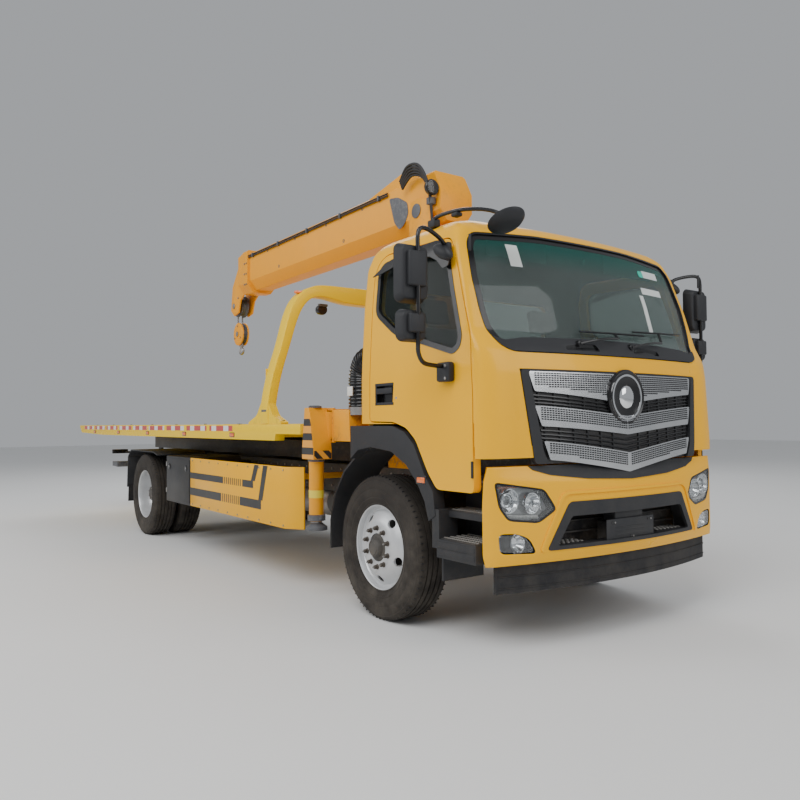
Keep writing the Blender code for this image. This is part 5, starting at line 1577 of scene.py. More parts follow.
def buildDeck():
    refined("deck", "bed", deckYellow, 0.004, 40, 2, "deckFrame")
    points = []
    for i in range(92):
        for j in range(30):
            x, y = -4.7 + i * 0.0775, -1.1 + j * 0.0759
            if 2.08 < x and abs(y) < 0.4:
                continue
            points.append((x, y, deck["floorTop"] + 0.001))
    repeated(
        "deckTreadBars", blockTree, points, (0, 0, 1), "bed", deckYellow, "deck_yellow",
        Size=(0.034, 0.01, 0.004),
    )
    for side, sign in sides:
        edge = sign * (deck["half"] + 0.0008)
        tape = Shape()
        for k in range(11):
            x = -4.55 + k * 0.66
            if 1.6 < x + 0.3 < 2.36:
                continue
            tape.box((x, edge - sign * 0.001, 1.312), (x + 0.58, edge, 1.362), reflectTape, 0)
        tape.piece("reflectiveTape" + side.title(), "bed", "deck_yellow")
        lamps = Shape()
        for x in (-3.9, -2.6, -1.3, 0.0, 1.3):
            lamps.box(
                (x - 0.05, edge - sign * 0.002, 1.262), (x + 0.05, edge + sign * 0.006, 1.292), amberLens,
                0.004,
            )
            lamps.box(
                (x - 0.058, edge - sign * 0.002, 1.256), (x + 0.058, edge + sign * 0.003, 1.298), glossBlack,
                0.002,
            )
        lamps.piece("sideMarkers" + side.title(), "bed", "lamp_lens")
        pockets = Shape()
        for x in (-4.2, -3.3, -2.4, -1.5, -0.6, 0.3, 1.2):
            outline = rounded(oblong(x, 1.318, x + 0.1, 1.357), 0.012)
            pockets.prism(outline, "Y", sign * 1.156, sign * 1.166, deckYellow, 0)
            pockets.tube(
                [
                    (x + 0.02, sign * 1.158, 1.35), (x + 0.02, sign * 1.146, 1.378),
                    (x + 0.08, sign * 1.146, 1.378), (x + 0.08, sign * 1.158, 1.35),
                ],
                0.006, rawSteel, 8,
            )
        pockets.piece("lashingRings" + side.title(), "bed", "steel_grey")
    tail = Shape()
    for side, sign in sides:
        tail.box((-4.866, sign * 0.8, 1.298), (-4.858, sign * 1.1, 1.34), redLens, 0.004)
        tail.box((-4.866, sign * 0.7, 1.298), (-4.858, sign * 0.78, 1.34), amberLens, 0.004)
    tail.piece("tailLamps", "bed", "lamp_lens")
    winch = Shape()
    winch.spin(
        [
            (0.072, -0.25), (0.125, -0.25), (0.125, -0.235), (0.075, -0.235), (0.075, 0.235), (0.125, 0.235),
            (0.125, 0.25), (0.072, 0.25),
        ],
        (2.32, 0, 1.475), "Y", rawSteel, 48,
    )
    for y in (-0.4, 0.4):
        winch.spin(
            [(0, -0.075), (0.085, -0.075), (0.1, -0.06), (0.1, 0.06), (0.085, 0.075), (0, 0.075)],
            (2.32, y, 1.475), "Y", steelGrey, 40,
        )
    winch.box((2.16, -0.36, 1.374), (2.5, 0.36, 1.382), steelGrey, 0.002)
    winch.piece("winchGear", "bed", "steel_grey")
    turns = [(2.32, -0.225 + k * 0.0145, 1.475) for k in range(32)]
    repeated(
        "winchRopeTurns", hoopTree, turns, (0, 1, 0), "bed", ropeSteel, "steel_grey",
        **{"Hoop Radius": 0.08, "Wire Radius": 0.0072, "Steps": 36},
    )


gantry = {
    "x": 1.93, "depth": 0.14,
    "outer": [
        (1.25, 1.3736), (1.25, 1.55), (1.2, 1.8), (1.115, 2.07), (1.04, 2.335), (0.965, 2.485),
        (0.855, 2.575), (0.72, 2.62), (0.4, 2.626), (0.0, 2.626),
    ],
    "inner": [
        (1.165, 1.3736), (1.165, 1.55), (1.115, 1.8), (1.03, 2.07), (0.955, 2.3), (0.885, 2.43),
        (0.79, 2.505), (0.66, 2.515), (0.4, 2.478), (0.0, 2.475),
    ],
    "foot": [
        (1.66, 1.3736), (2.31, 1.3736), (2.31, 1.392), (2.15, 1.45), (2.05, 1.58), (1.94, 1.58), (1.83, 1.45),
        (1.66, 1.392),
    ],
}


def buildGantry():
    outer = smoothPath([(u, v, 0) for u, v in gantry["outer"]], 5)
    inner = smoothPath([(u, v, 0) for u, v in gantry["inner"]], 5)
    outer = outer + [Vector((-p.x, p.y, 0)) for p in reversed(outer[:-1])]
    inner = inner + [Vector((-p.x, p.y, 0)) for p in reversed(inner[:-1])]
    bm, rings = bmesh.new(), []
    for a, b in zip(outer, inner):
        corners = [
            (gantry["x"], a), (gantry["x"] + gantry["depth"], a), (gantry["x"] + gantry["depth"], b),
            (gantry["x"], b),
        ]
        rings.append([bm.verts.new((x, p.x, p.y)) for x, p in corners])
    for a, b in zip(rings, rings[1:]):
        for k in range(4):
            bm.faces.new((a[k], a[(k + 1) % 4], b[(k + 1) % 4], b[k]))
    bm.faces.new(rings[0])
    bm.faces.new(list(reversed(rings[-1])))
    bmesh.ops.recalc_face_normals(bm, faces=bm.faces)
    sharp = [e for e in bm.edges if e.calc_face_angle(0) > 0.9]
    bmesh.ops.bevel(bm, geom=sharp, offset=0.01, segments=3, profile=0.5, affect="EDGES", clamp_overlap=True)
    arch = Shape()
    arch.add(bm, deckYellow)
    for side, sign in sides:
        arch.prism(rounded(gantry["foot"], 0.03), "Y", sign * 1.175, sign * 1.243, deckYellow, 0)
        weld = [(1.935, sign * 1.176, 1.58), (1.83, sign * 1.172, 1.45), (1.66, sign * 1.172, 1.392)]
        arch.tube(weld, 0.005, deckYellow, 6, 4)
    arch.piece("gantryArch", "bed", "deck_yellow", ("gantry",), angle=30)
    extra = Shape()
    for side, sign in sides:
        for x in (1.7, 1.8, 2.2, 2.27):
            extra.spin(
                [(0, 0), (0.02, 0), (0.02, 0.004), (0.013, 0.005), (0.013, 0.017), (0, 0.017)],
                (x, sign * 1.2, 1.393), "Z", rawSteel, 6,
            )
        extra.box((1.925, sign * 1.155, 1.6), (1.929, sign * 1.2, 1.86), deckYellow, 0.001)
        extra.box((1.95, sign * 1.2515, 1.48), (2.05, sign * 1.2535, 1.5), steelGrey, 0.0005)
    for y in (-0.62, 0.62):  # work lamps and their brackets under the top beam
        extra.box((1.9, y - 0.045, 2.455), (1.932, y + 0.045, 2.478), steelGrey, 0.004)
        extra.spin(
            [(0, -0.03), (0.045, -0.025), (0.052, 0.02), (0.048, 0.03), (0, 0.03)], (1.885, y, 2.43), "X",
            glossBlack, 32,
        )
        extra.spin(puck(0.044, -0.004, 0.0), (1.853, y, 2.43), "X", lampGlass, 32)
    for y in (-0.9, -0.3, 0.3, 0.9):
        z = 2.63 if abs(y) < 0.5 else 2.555
        extra.box((2.0 - 0.02, y - 0.05, z - 0.02), (2.0 + 0.02, y + 0.05, z + 0.006), amberLens, 0.006)
    extra.piece("gantryFittings", "bed", "steel_grey")


def buildCrane():
    for node, body, width, angle, name in (
        ("crane_base", "truck", 0.006, 38, "craneBase"),
        ("crane_column", "crane_column", 0.007, 38, "craneColumn"),
        ("boom_base", "boom", 0.007, 30, "boomBase"), ("boom_middle", "boom_middle", 0.005, 30, "boomMiddle"),
        ("boom_tip", "boom_tip", 0.004, 30, "boomTip"),
    ):
        refined(node, body, craneOrange, width, angle, 3, name)
    slew = Shape()
    slew.spin([(0.21, 1.5), (0.222, 1.505), (0.222, 1.535), (0.21, 1.54)], (2.91, 0, 0), "Z", rawSteel, 64)
    slew.spin([(0.214, 1.575), (0.226, 1.58), (0.226, 1.6), (0.214, 1.602)], (2.91, 0, 0), "Z", rawSteel, 64)
    slew.piece("slewRing", slot="steel_grey", angle=30)
    ring = [
        (2.91 + 0.222 * math.cos(a), 0.222 * math.sin(a), 1.712)
        for a in [2 * math.pi * k / 24 for k in range(24)]
    ]
    studs(
        "turntableBolts", [Vector(p) for p in ring], (0, 0, 1), "crane_column", rawSteel, 0.011, 0.014, 6,
        "steel_grey",
    )
    boom = Shape()
    for side, sign in sides:
        y = sign * 0.1705
        fan = [
            (2.52, 3.1), (2.6, 3.14), (2.655, 3.22), (2.64, 3.32), (2.5, 3.4), (2.36, 3.42), (2.4, 3.3),
            (2.44, 3.18),
        ]
        boom.prism(rounded(fan, 0.03), "Y", y, y + sign * 0.004, steelGrey, 0)
        for x, z in ((1.9, 3.44), (1.2, 3.44), (0.5, 3.44), (-0.2, 3.44), (1.55, 3.2), (0.1, 3.2)):
            boom.spin(oblong(0.01, -0.001, 0.018, 0.002), (x, y, z), "Y", steelGrey, 24, sign)
        out = y + sign * 0.014
        for z in (3.47, 3.45):  # the two hoses along each side
            path = [
                (2.35, y + sign * 0.016, z), (1.6, out, z + 0.002), (0.6, out, z), (-0.72, out, z + 0.002),
            ]
            boom.tube(path, 0.008, hoseRubber, 8, 6)
        for x in (2.2, 1.5, 0.8, 0.1, -0.6):
            boom.box((x - 0.012, y, 3.435), (x + 0.012, y + sign * 0.026, 3.487), steelGrey, 0.003)
    boom.spin(
        [(0, -0.205), (0.04, -0.205), (0.046, -0.2), (0.046, 0.2), (0.04, 0.205), (0, 0.205)], (2.81, 0, 3.2),
        "Y", rawSteel, 40,
    )
    boom.piece("boomFittings", "boom", "steel_grey", angle=32)
    bundle = Shape()
    for k in range(5):
        lift, out = 0.025 * k, 0.012 * k
        bundle.tube([(2.64, -0.225 - out * 0.5, 3.43 + lift * 0.6), (2.8, -0.24 - out, 3.5 + lift * 0.7),
                     (2.96, -0.238 - out, 3.44 + lift), (3.04, -0.228 - out * 0.6, 3.28 + lift),
                     (3.045, -0.215, 3.1), (3.04, -0.19, 2.86 - lift)], 0.0115, hoseRubber, 10, 7)
    bundle.piece("boomHoseBundle", "crane_column", angle=40)
    lamp = Shape()
    lamp.spin(
        [(0, -0.045), (0.035, -0.04), (0.062, -0.01), (0.068, 0.022), (0.062, 0.03), (0, 0.03)],
        (3.06, -0.235, 3.33), "X", glossBlack, 36,
    )
    lamp.spin(
        [(0, 0.03), (0.058, 0.03), (0.056, 0.036), (0, 0.042)], (3.06, -0.235, 3.33), "X", lampGlass, 36,
    )
    lamp.box((3.0, -0.24, 3.2), (3.06, -0.18, 3.26), steelGrey, 0.006)
    lamp.tube([(3.03, -0.21, 3.24), (3.04, -0.225, 3.28), (3.05, -0.235, 3.3)], 0.01, steelGrey, 8)
    lamp.piece("craneWorkLamp", "crane_column", "lamp_lens")
    column = Shape()
    for sign in (-1, 1):
        column.spin(cap(0.062, 0, 0.006, 0.03, 0.01), (2.81, sign * 0.2005, 3.2), "Y", steelGrey, 40, sign)
        column.spin(
            [(0, 0), (0.036, 0), (0.036, 0.008), (0, 0.01)], (2.69, sign * 0.1055, 1.85), "Y", steelGrey, 32,
            sign,
        )
        for z in (1.95, 2.25, 2.55):
            column.box((2.86, sign * 0.1705, z - 0.01), (2.98, sign * 0.1745, z + 0.01), steelGrey, 0.001)
    column.spin(puck(0.028, -0.115, 0.115), (2.69, 0, 1.85), "Y", rawSteel, 24)
    for k in range(3):
        column.tube(
            [
                (2.95 + 0.035 * k, -0.185, 1.8), (2.96 + 0.035 * k, -0.188, 2.2),
                (2.955 + 0.03 * k, -0.184, 2.6), (2.965 + 0.03 * k, -0.19, 2.9),
            ],
            0.01, hoseRubber, 8, 6,
        )
    column.piece("columnFittings", "crane_column", "steel_grey")
    valves = Shape()
    for k in range(6):
        x = 2.89 + k * 0.033
        valves.box((x, -0.42, 1.3), (x + 0.027, -0.31, 1.4), steelGrey, 0.003)
        valves.tube([(x + 0.013, -0.4, 1.4), (x + 0.013, -0.44, 1.47)], 0.004, rawSteel, 6)
        valves.spin(
            [(0, -0.012), (0.01, -0.008), (0.011, 0.004), (0.006, 0.013), (0, 0.014)],
            (x + 0.013, -0.44, 1.48), "Z", glossBlack, 14,
        )
    valves.piece("controlLevers", slot="steel_grey")
    tip = Shape()
    x, z = -1.36, 2.93
    for sign in (-1, 1):
        tip.spin(cap(0.036, 0, 0.008, 0.02, 0.012), (x, sign * 0.1055, z), "Y", rawSteel, 32, sign)
        for bx, bz in ((-1.1, 3.12), (-1.16, 3.26), (-1.22, 3.02)):
            tip.spin(
                [(0, 0), (0.014, 0), (0.014, 0.008), (0, 0.01)], (bx, sign * 0.1055, bz), "Y", rawSteel, 6,
                sign,
            )
    for y in (-0.03, 0.03):
        tip.spin(
            [
                (0.052, -0.02), (0.15, -0.02), (0.15, -0.013), (0.132, -0.004), (0.132, 0.004), (0.15, 0.013),
                (0.15, 0.02), (0.052, 0.02),
            ],
            (-1.15, y, 3.235), "Y", steelGrey, 48,
        )
    tip.piece("headFittings", "boom_tip", "steel_grey", angle=32)
    collar = []
    for sign in (-1, 1):
        for z in (3.12, 3.25, 3.38):
            collar += [((-0.8, sign * 0.2035, z), (0, sign, 0)), ((-0.745, sign * 0.2035, z), (0, sign, 0))]
    studs(
        "collarBolts", [Vector(p) for p, _ in collar], [a for _, a in collar], "boom", rawSteel, 0.012, 0.012,
        6, "steel_grey",
    )


def buildLuffCylinder():
    low, high = Vector((2.69, 0, 1.85)), Vector((2.48, 0, 2.95))
    along = (high - low).normalized()
    refined("luff_cylinder", "luff_cylinder", craneOrange, 0.004, 40, 2, "luffBarrel")
    refined("luff_rod", "luff_rod", mirrorChrome, 0.003, 40, 2, "luffRod")
    trim = Shape()
    turn = Matrix.Translation(low) @ along.to_track_quat("Z", "Y").to_matrix().to_4x4()
    trim.spin(
        [(0.069, 0.72), (0.079, 0.725), (0.079, 0.79), (0.069, 0.795)], (0, 0, 0), "Z", steelGrey, 48,
        turn=turn,
    )
    trim.spin(
        [(0.069, 0.06), (0.077, 0.065), (0.077, 0.1), (0.069, 0.105)], (0, 0, 0), "Z", steelGrey, 48,
        turn=turn,
    )
    trim.tube(
        [
            low + along * 0.12 + Vector((-0.075, 0.02, 0)), low + along * 0.4 + Vector((-0.085, 0.02, 0)),
            low + along * 0.7 + Vector((-0.075, 0.02, 0)),
        ],
        0.008, rawSteel, 8, 4,
    )
    trim.piece("luffBarrelTrim", "luff_cylinder", "steel_grey", angle=32)


def buildHook():
    hx, hz = -1.36, 2.93
    block = Shape()
    centre = (hx - 0.005, 0, 2.565)
    for sign in (-1, 1):
        block.spin(
            [
                (0, 0.028), (0.146, 0.028), (0.15, 0.032), (0.149, 0.046), (0.135, 0.052), (0.08, 0.056),
                (0, 0.058),
            ],
            centre, "Y", craneOrange, 56, sign,
        )
        block.spin([(0, 0.056), (0.034, 0.056), (0.034, 0.066), (0, 0.068)], centre, "Y", rawSteel, 32, sign)
        for k in range(3):
            a = math.radians(90 + 120 * k)
            block.spin(
                puck(0.012, 0.05, 0.062),
                (centre[0] + 0.105 * math.cos(a), 0, centre[2] + 0.105 * math.sin(a)), "Y", rawSteel, 6, sign,
            )
        block.tube(
            [(hx - 0.04, sign * 0.03, 2.6), (hx - 0.04, sign * 0.03, hz - 0.05)], 0.0105, ropeSteel, 10,
        )
    block.spin(
        [
            (0.04, -0.026), (0.138, -0.026), (0.138, -0.018), (0.118, -0.006), (0.118, 0.006), (0.138, 0.018),
            (0.138, 0.026), (0.04, 0.026),
        ],
        centre, "Y", steelGrey, 56,
    )
    block.spin(
        [
            (0.0295, -0.046), (0.14, -0.046), (0.14, -0.036), (0.118, -0.016), (0.118, 0.016), (0.14, 0.036),
            (0.14, 0.046), (0.0295, 0.046),
        ],
        (hx, 0, hz), "Y", steelGrey, 56,
    )
    block.spin(
        [(0, 2.395), (0.026, 2.395), (0.03, 2.41), (0.03, 2.44), (0.022, 2.452), (0, 2.452)], (hx, 0, 0), "Z",
        rawSteel, 32,
    )
    path = [
        (hx, 0, 2.42), (hx, 0, 2.395), (hx + 0.03, 0, 2.375), (hx + 0.052, 0, 2.35), (hx + 0.046, 0, 2.322),
        (hx + 0.012, 0, 2.306), (hx - 0.03, 0, 2.312), (hx - 0.058, 0, 2.338), (hx - 0.062, 0, 2.365),
    ]
    block.tube(path, lambda t: 0.0175 if t < 0.75 else 0.0175 - 0.01 * (t - 0.75) / 0.25, rawSteel, 14, 5)
    block.tube([(hx - 0.06, 0, 2.362), (hx - 0.03, 0, 2.385), (hx - 0.005, 0, 2.4)], 0.005, rawSteel, 8)
    block.piece("hookBlock", "hook", "crane_orange", ("hook_block",), angle=32)


def buildOutrigger(side, sign):
    beam, leg = "outrigger_beam_" + side, "outrigger_leg_" + side
    refined(beam, beam, craneOrange, 0.005, 38, 3, "outriggerBeam" + side.title())
    refined(leg, leg, steelGrey, 0.002, 38, 2, "outriggerLeg" + side.title())
    x, y = 2.775, sign * 1.17
    extra = Shape()
    band = [
        (x - 0.09, 1.105), (x + 0.09, 1.105), (x + 0.09, 1.172), (x + 0.052, 1.375), (x + 0.03, 1.42),
        (x - 0.055, 1.42), (x - 0.09, 1.172),
    ]
    extra.prism(band, "Y", sign * 1.2452, sign * 1.2475, hazardPaint, 0)
    for edge in (-1, 1):
        face = oblong(sign * 1.09, 1.105, sign * 1.24, 1.168)
        extra.prism(face, "X", x + edge * 0.0932, x + edge * 0.0955, hazardPaint, 0)
    extra.spin(cap(0.052, 1.4995, 1.512, 0.044, 1.518), (x - 0.015, y, 0), "Z", steelGrey, 32)
    extra.spin([(0.0587, 1.08), (0.066, 1.085), (0.066, 1.1), (0.0587, 1.1)], (x, y, 0), "Z", steelGrey, 40)
    extra.spin([(0.0587, 0.622), (0.07, 0.624), (0.07, 0.665), (0.0587, 0.67)], (x, y, 0), "Z", steelGrey, 40)
    extra.spin(oblong(0.0592, 0.8, 0.0598, 0.86), (x, y, 0), "Z", labelYellow, 40)
    extra.tube(
        [(x - 0.066, y, 1.1), (x - 0.082, y, 1.02), (x - 0.078, y, 0.86), (x - 0.066, y, 0.68)], 0.008,
        rawSteel, 8, 5,
    )
    extra.piece("outriggerTrim" + side.title(), beam, "crane_orange", angle=32)
    foot = Shape()
    foot.spin([(0.03, 0.602), (0.044, 0.604), (0.044, 0.616), (0.03, 0.618)], (x, y, 0), "Z", rawSteel, 32)
    for k in range(8):
        a = 2 * math.pi * k / 8
        foot.box(
            (x + 0.055 * math.cos(a) - 0.004, y + 0.055 * math.sin(a) - 0.004, 0.575),
            (x + 0.055 * math.cos(a) + 0.004, y + 0.055 * math.sin(a) + 0.004, 0.59), steelGrey, 0.001,
        )
    foot.piece("outriggerFoot" + side.title(), leg, "steel_grey", angle=32)
    rib = Shape()
    for at in (0.3, 0.62, 0.98):
        rib.box((2.872, sign * at - 0.006, 1.245), (2.892, sign * at + 0.006, 1.482), craneOrange, 0.002)
        rib.box((2.66, sign * at - 0.006, 1.245), (2.6795, sign * at + 0.006, 1.482), craneOrange, 0.002)
    rib.box((2.665, sign * 1.058, 1.228), (2.885, sign * 1.0755, 1.236), craneOrange, 0.002)
    rib.box((2.665, sign * 1.058, 1.4905), (2.885, sign * 1.0755, 1.499), craneOrange, 0.002)
    rib.piece("outriggerHousingRibs" + side.title(), slot="crane_orange")


# under the deck
def buildLower():
    for node, body, width, name in (
        ("chassis_frame", "truck", 0.003, "chassisFrame"), ("tilt_frame", "tilt_frame", 0.004, "tiltFrame"),
        ("front_axle", "truck", 0.004, "frontAxle"), ("rear_axle", "truck", 0.004, "rearAxle"),
    ):
        refined(node, body, chassisBlack, width, 40, 2, name)
    refined("engine_block", "truck", steelGrey, 0.0, 40, 1, "enginePack")
    refined("underlift_arm", "underlift_arm", steelGrey, 0.004, 40, 2, "underliftArm")
    refined("underlift_bar", "underlift_bar", steelGrey, 0.004, 40, 2, "underliftBar")
    for side, sign in sides:
        refined(
            "knuckle_" + side, "knuckle_" + side, castIron, 0.003, 40, 2, "steeringKnuckle" + side.title(),
        )
        refined(
            "rear_mudguard_" + side, "truck", darkPlastic, 0.003, 40, 2, "rearMudguard" + side.title(),
        )
    points, aims = [], []
    for sign in (-1, 1):
        for k in range(46):
            x = -3.2 + k * 0.165
            points += [Vector((x, sign * 0.4305, 0.79)), Vector((x, sign * 0.4305, 0.95))]
            aims += [(0, sign, 0), (0, sign, 0)]
    studs("frameBolts", points, aims, "truck", rawSteel, 0.012, 0.014, 6, "chassis_black")
    air = Shape()
    for k, x in enumerate((-0.25, -0.62)):
        for sign in (-1, 1):
            air.spin(
                [
                    (0, -0.15), (0.075, -0.15), (0.098, -0.128), (0.1, -0.1), (0.1, 0.1), (0.098, 0.128),
                    (0.075, 0.15), (0, 0.15),
                ],
                (x, sign * 0.22, 0.62), "Y", chassisBlack, 32,
            )
    air.tube(
        [
            (2.2, -0.28, 0.7), (1.2, -0.3, 0.68), (0.1, -0.29, 0.7), (-0.9, -0.3, 0.92), (-2.6, -0.3, 0.72),
            (-2.9, -0.34, 0.7),
        ],
        0.055, rawSteel, 16, 6,
    )
    air.spin(
        [(0, -0.36), (0.13, -0.36), (0.15, -0.33), (0.15, 0.33), (0.13, 0.36), (0, 0.36)],
        (1.25, -0.28, 0.62), "X", rawSteel, 40,
    )
    for sign in (-1, 1):
        for drop, radius in ((0, 0.01), (0.03, 0.008)):
            path = [(2.6, 0.335, 0.84), (0.5, 0.337, 0.83), (-1.0, 0.337, 0.86), (-3.1, 0.335, 0.84)]
            air.tube([(x, sign * y, z - drop) for x, y, z in path], radius, hoseRubber, 8, 6)
    air.piece("tanksAndPipes", slot="chassis_black")
    lamps = Shape()
    for sign in (-1, 1):
        lamps.box((-3.44, sign * 0.9, 0.96), (-3.4, sign * 1.12, 1.02), glossBlack, 0.006)
        lamps.box((-3.447, sign * 0.91, 0.965), (-3.439, sign * 1.02, 1.015), redLens, 0.003)
        lamps.box((-3.447, sign * 1.03, 0.965), (-3.439, sign * 1.11, 1.015), amberLens, 0.003)
        lamps.box((-3.42, sign * 0.38, 0.96), (-3.39, sign * 0.94, 0.99), chassisBlack, 0.004)
    lamps.piece("rearLampBar", slot="lamp_lens")


skirtTop = 1.012


def buildSideBoxes(side, sign):
    refined(
        "side_skirt_" + side, "truck", skirtYellow, 0.004, 40, 2, "sideSkirt" + side.title(),
    )
    edge = sign * 1.2008
    stripes = Shape()
    for low, high, gap, corner, rise in (
        (0.8, 0.865, (0.96, 1.42), 1.66, 0.12), (0.623, 0.703, (0.91, 1.36), 1.826, 0.135),
    ):
        stripes.box((0.035, sign * 1.1995, low), (gap[0], edge, high), stripeBlack, 0)
        stripes.box((gap[1], sign * 1.1995, low), (corner, edge, high), stripeBlack, 0)
        lean = rise * (high - low) / (skirtTop - low)
        upright = [
            (corner - 0.085 + lean, high), (corner + lean, high), (corner + rise, skirtTop),
            (corner + rise - 0.092, skirtTop),
        ]
        stripes.prism(upright, "Y", sign * 1.1995, edge, stripeBlack, 0)
        for k in range(9):
            x = gap[0] + 0.03 + k * 0.047
            stripes.box((x, sign * 1.1995, low), (x + 0.02, edge, high), stripeBlack, 0)
    stripes.piece("skirtStripes" + side.title(), slot="deck_yellow")
    refined("toolbox_" + side, "truck", boxGrey, 0.008, 40, 3, "toolbox" + side.title())
    box = Shape()
    box.box((-0.715, sign * 1.199, 0.525), (0.025, sign * 1.206, 0.993), boxGrey, 0.003)
    for x in (-0.62, -0.07):
        box.spin(cap(0.034, 0, 0.004, 0.028, 0.006), (x, sign * 1.206, 0.9), "Y", glossBlack, 32, sign)
        box.spin(
            [(0, 0.004), (0.012, 0.004), (0.01, 0.009), (0, 0.009)], (x, sign * 1.206, 0.9), "Y", rawSteel,
            20, sign,
        )
    for z in (0.6, 0.9):
        box.box((-0.735, sign * 1.195, z), (-0.7, sign * 1.208, z + 0.05), rawSteel, 0.002)
    box.piece("toolboxDoor" + side.title(), slot="steel_grey")
    studPoints = [Vector((0.12 + k * 0.238, sign * 1.2005, z)) for k in range(10) for z in (0.53, 0.99)]
    studs(
        "skirtScrews" + side.title(), studPoints, (0, sign, 0), "truck", rawSteel, 0.009, 0.008, 6,
        "deck_yellow",
    )
    guard = Shape()
    flap = [
        (rearAxle - 0.712, 0.36), (rearAxle - 0.7, 0.36), (rearAxle - 0.672, 0.7), (rearAxle - 0.686, 0.7),
    ]
    guard.prism(flap, "Y", sign * 0.6, sign * 1.18, lipRubber)
    guard.piece("rearFlap" + side.title(), slot="lip_rubber")


def buildTank():
    refined("fuel_tank", "truck", brightSteel, 0.0, 40, 1, "fuelTank")
    extra = Shape()
    for x in (0.85, 1.52):
        strap = [
            (0.49, 0.75), (0.49, 0.545), (0.515, 0.521), (1.065, 0.521), (1.089, 0.545), (1.089, 0.853),
            (1.065, 0.877), (0.52, 0.877),
        ]
        inner = [(u * 0.985 + 0.012, v * 0.985 + 0.0105) for u, v in strap]
        extra.prism(strap + list(reversed(inner)), "X", x, x + 0.06, rawSteel, 0)
    extra.spin(cap(0.055, 0.868, 0.89, 0.045, 0.905), (1.25, 0.95, 0), "Z", glossBlack, 36)
    extra.piece("tankStraps", slot="wheel_silver")


def buildIntake():
    x, y = frontAxle - 0.42, -0.96
    path = smoothPath(
        [(x, y, 1.492), (x, y, 1.7), (x + 0.025, y, 1.79), (x + 0.09, y, 1.85), (x + 0.249, y, 1.87)], 8,
    )
    duct = Shape()
    duct.tube(path, 0.092, glossBlack, 40)
    duct.spin(oblong(0.09, 1.44, 0.101, 1.5), (x, y, 0), "Z", rawSteel, 40)
    duct.box((x - 0.035, y - 0.1075, 1.585), (x + 0.035, y - 0.098, 1.655), labelWhite, 0.001)
    duct.piece("intakeDuct", stands=("air_intake",), angle=40)
    points, aims, run = [], [], 0.0
    for a, b in zip(path, path[1:]):
        run += (b - a).length
        if run > 0.0165:
            points.append(b)
            aims.append(tuple((b - a).normalized()))
            run = 0.0
    repeated(
        "intakeRibs", hoopTree, points, aims, "truck", glossBlack, "dark_plastic",
        **{"Hoop Radius": 0.093, "Wire Radius": 0.0085, "Steps": 40},
    )


# cab inside
def plump(name, bm, body, surface, swell=0.012, cell=0.022):
    made = fromBmesh(name, bm, surface)
    remesh = made.modifiers.new("cells", "REMESH")
    remesh.mode, remesh.voxel_size = "VOXEL", cell
    settle(made)
    made.data.materials.clear()
    made.data.materials.append(surface)
    rest = [v.co.copy() for v in made.data.vertices]
    cloth = made.modifiers.new("cloth", "CLOTH")
    cloth.settings.use_pressure = True
    cloth.settings.uniform_pressure_force = 4.0
    cloth.settings.effector_weights.gravity = 0.0
    for number in range(1, 16):
        bpy.context.scene.frame_set(number)
    settle(made)
    for vertex, start in zip(made.data.vertices, rest):
        move = vertex.co - start
        if move.length > swell:
            vertex.co = start + move.normalized() * swell
    bpy.context.scene.frame_set(1)
    fine = made.modifiers.new("fine", "SUBSURF")
    fine.levels = fine.render_levels = 1
    settle(made)
    finishPiece(made, body, angle=180)
    return made


def cushionMesh(low, high, turn=None):
    bm = bmesh.new()
    bmesh.ops.create_cube(bm, size=1.0)
    size = Vector([b - a for a, b in zip(low, high)])
    bm.transform(Matrix.Translation((Vector(low) + Vector(high)) / 2) @ Matrix.Diagonal((*size, 1)))
    bmesh.ops.bevel(bm, geom=list(bm.edges), offset=min(size) * 0.32, segments=4, profile=0.6, affect="EDGES")
    if turn is not None:
        bm.transform(turn)
    return bm


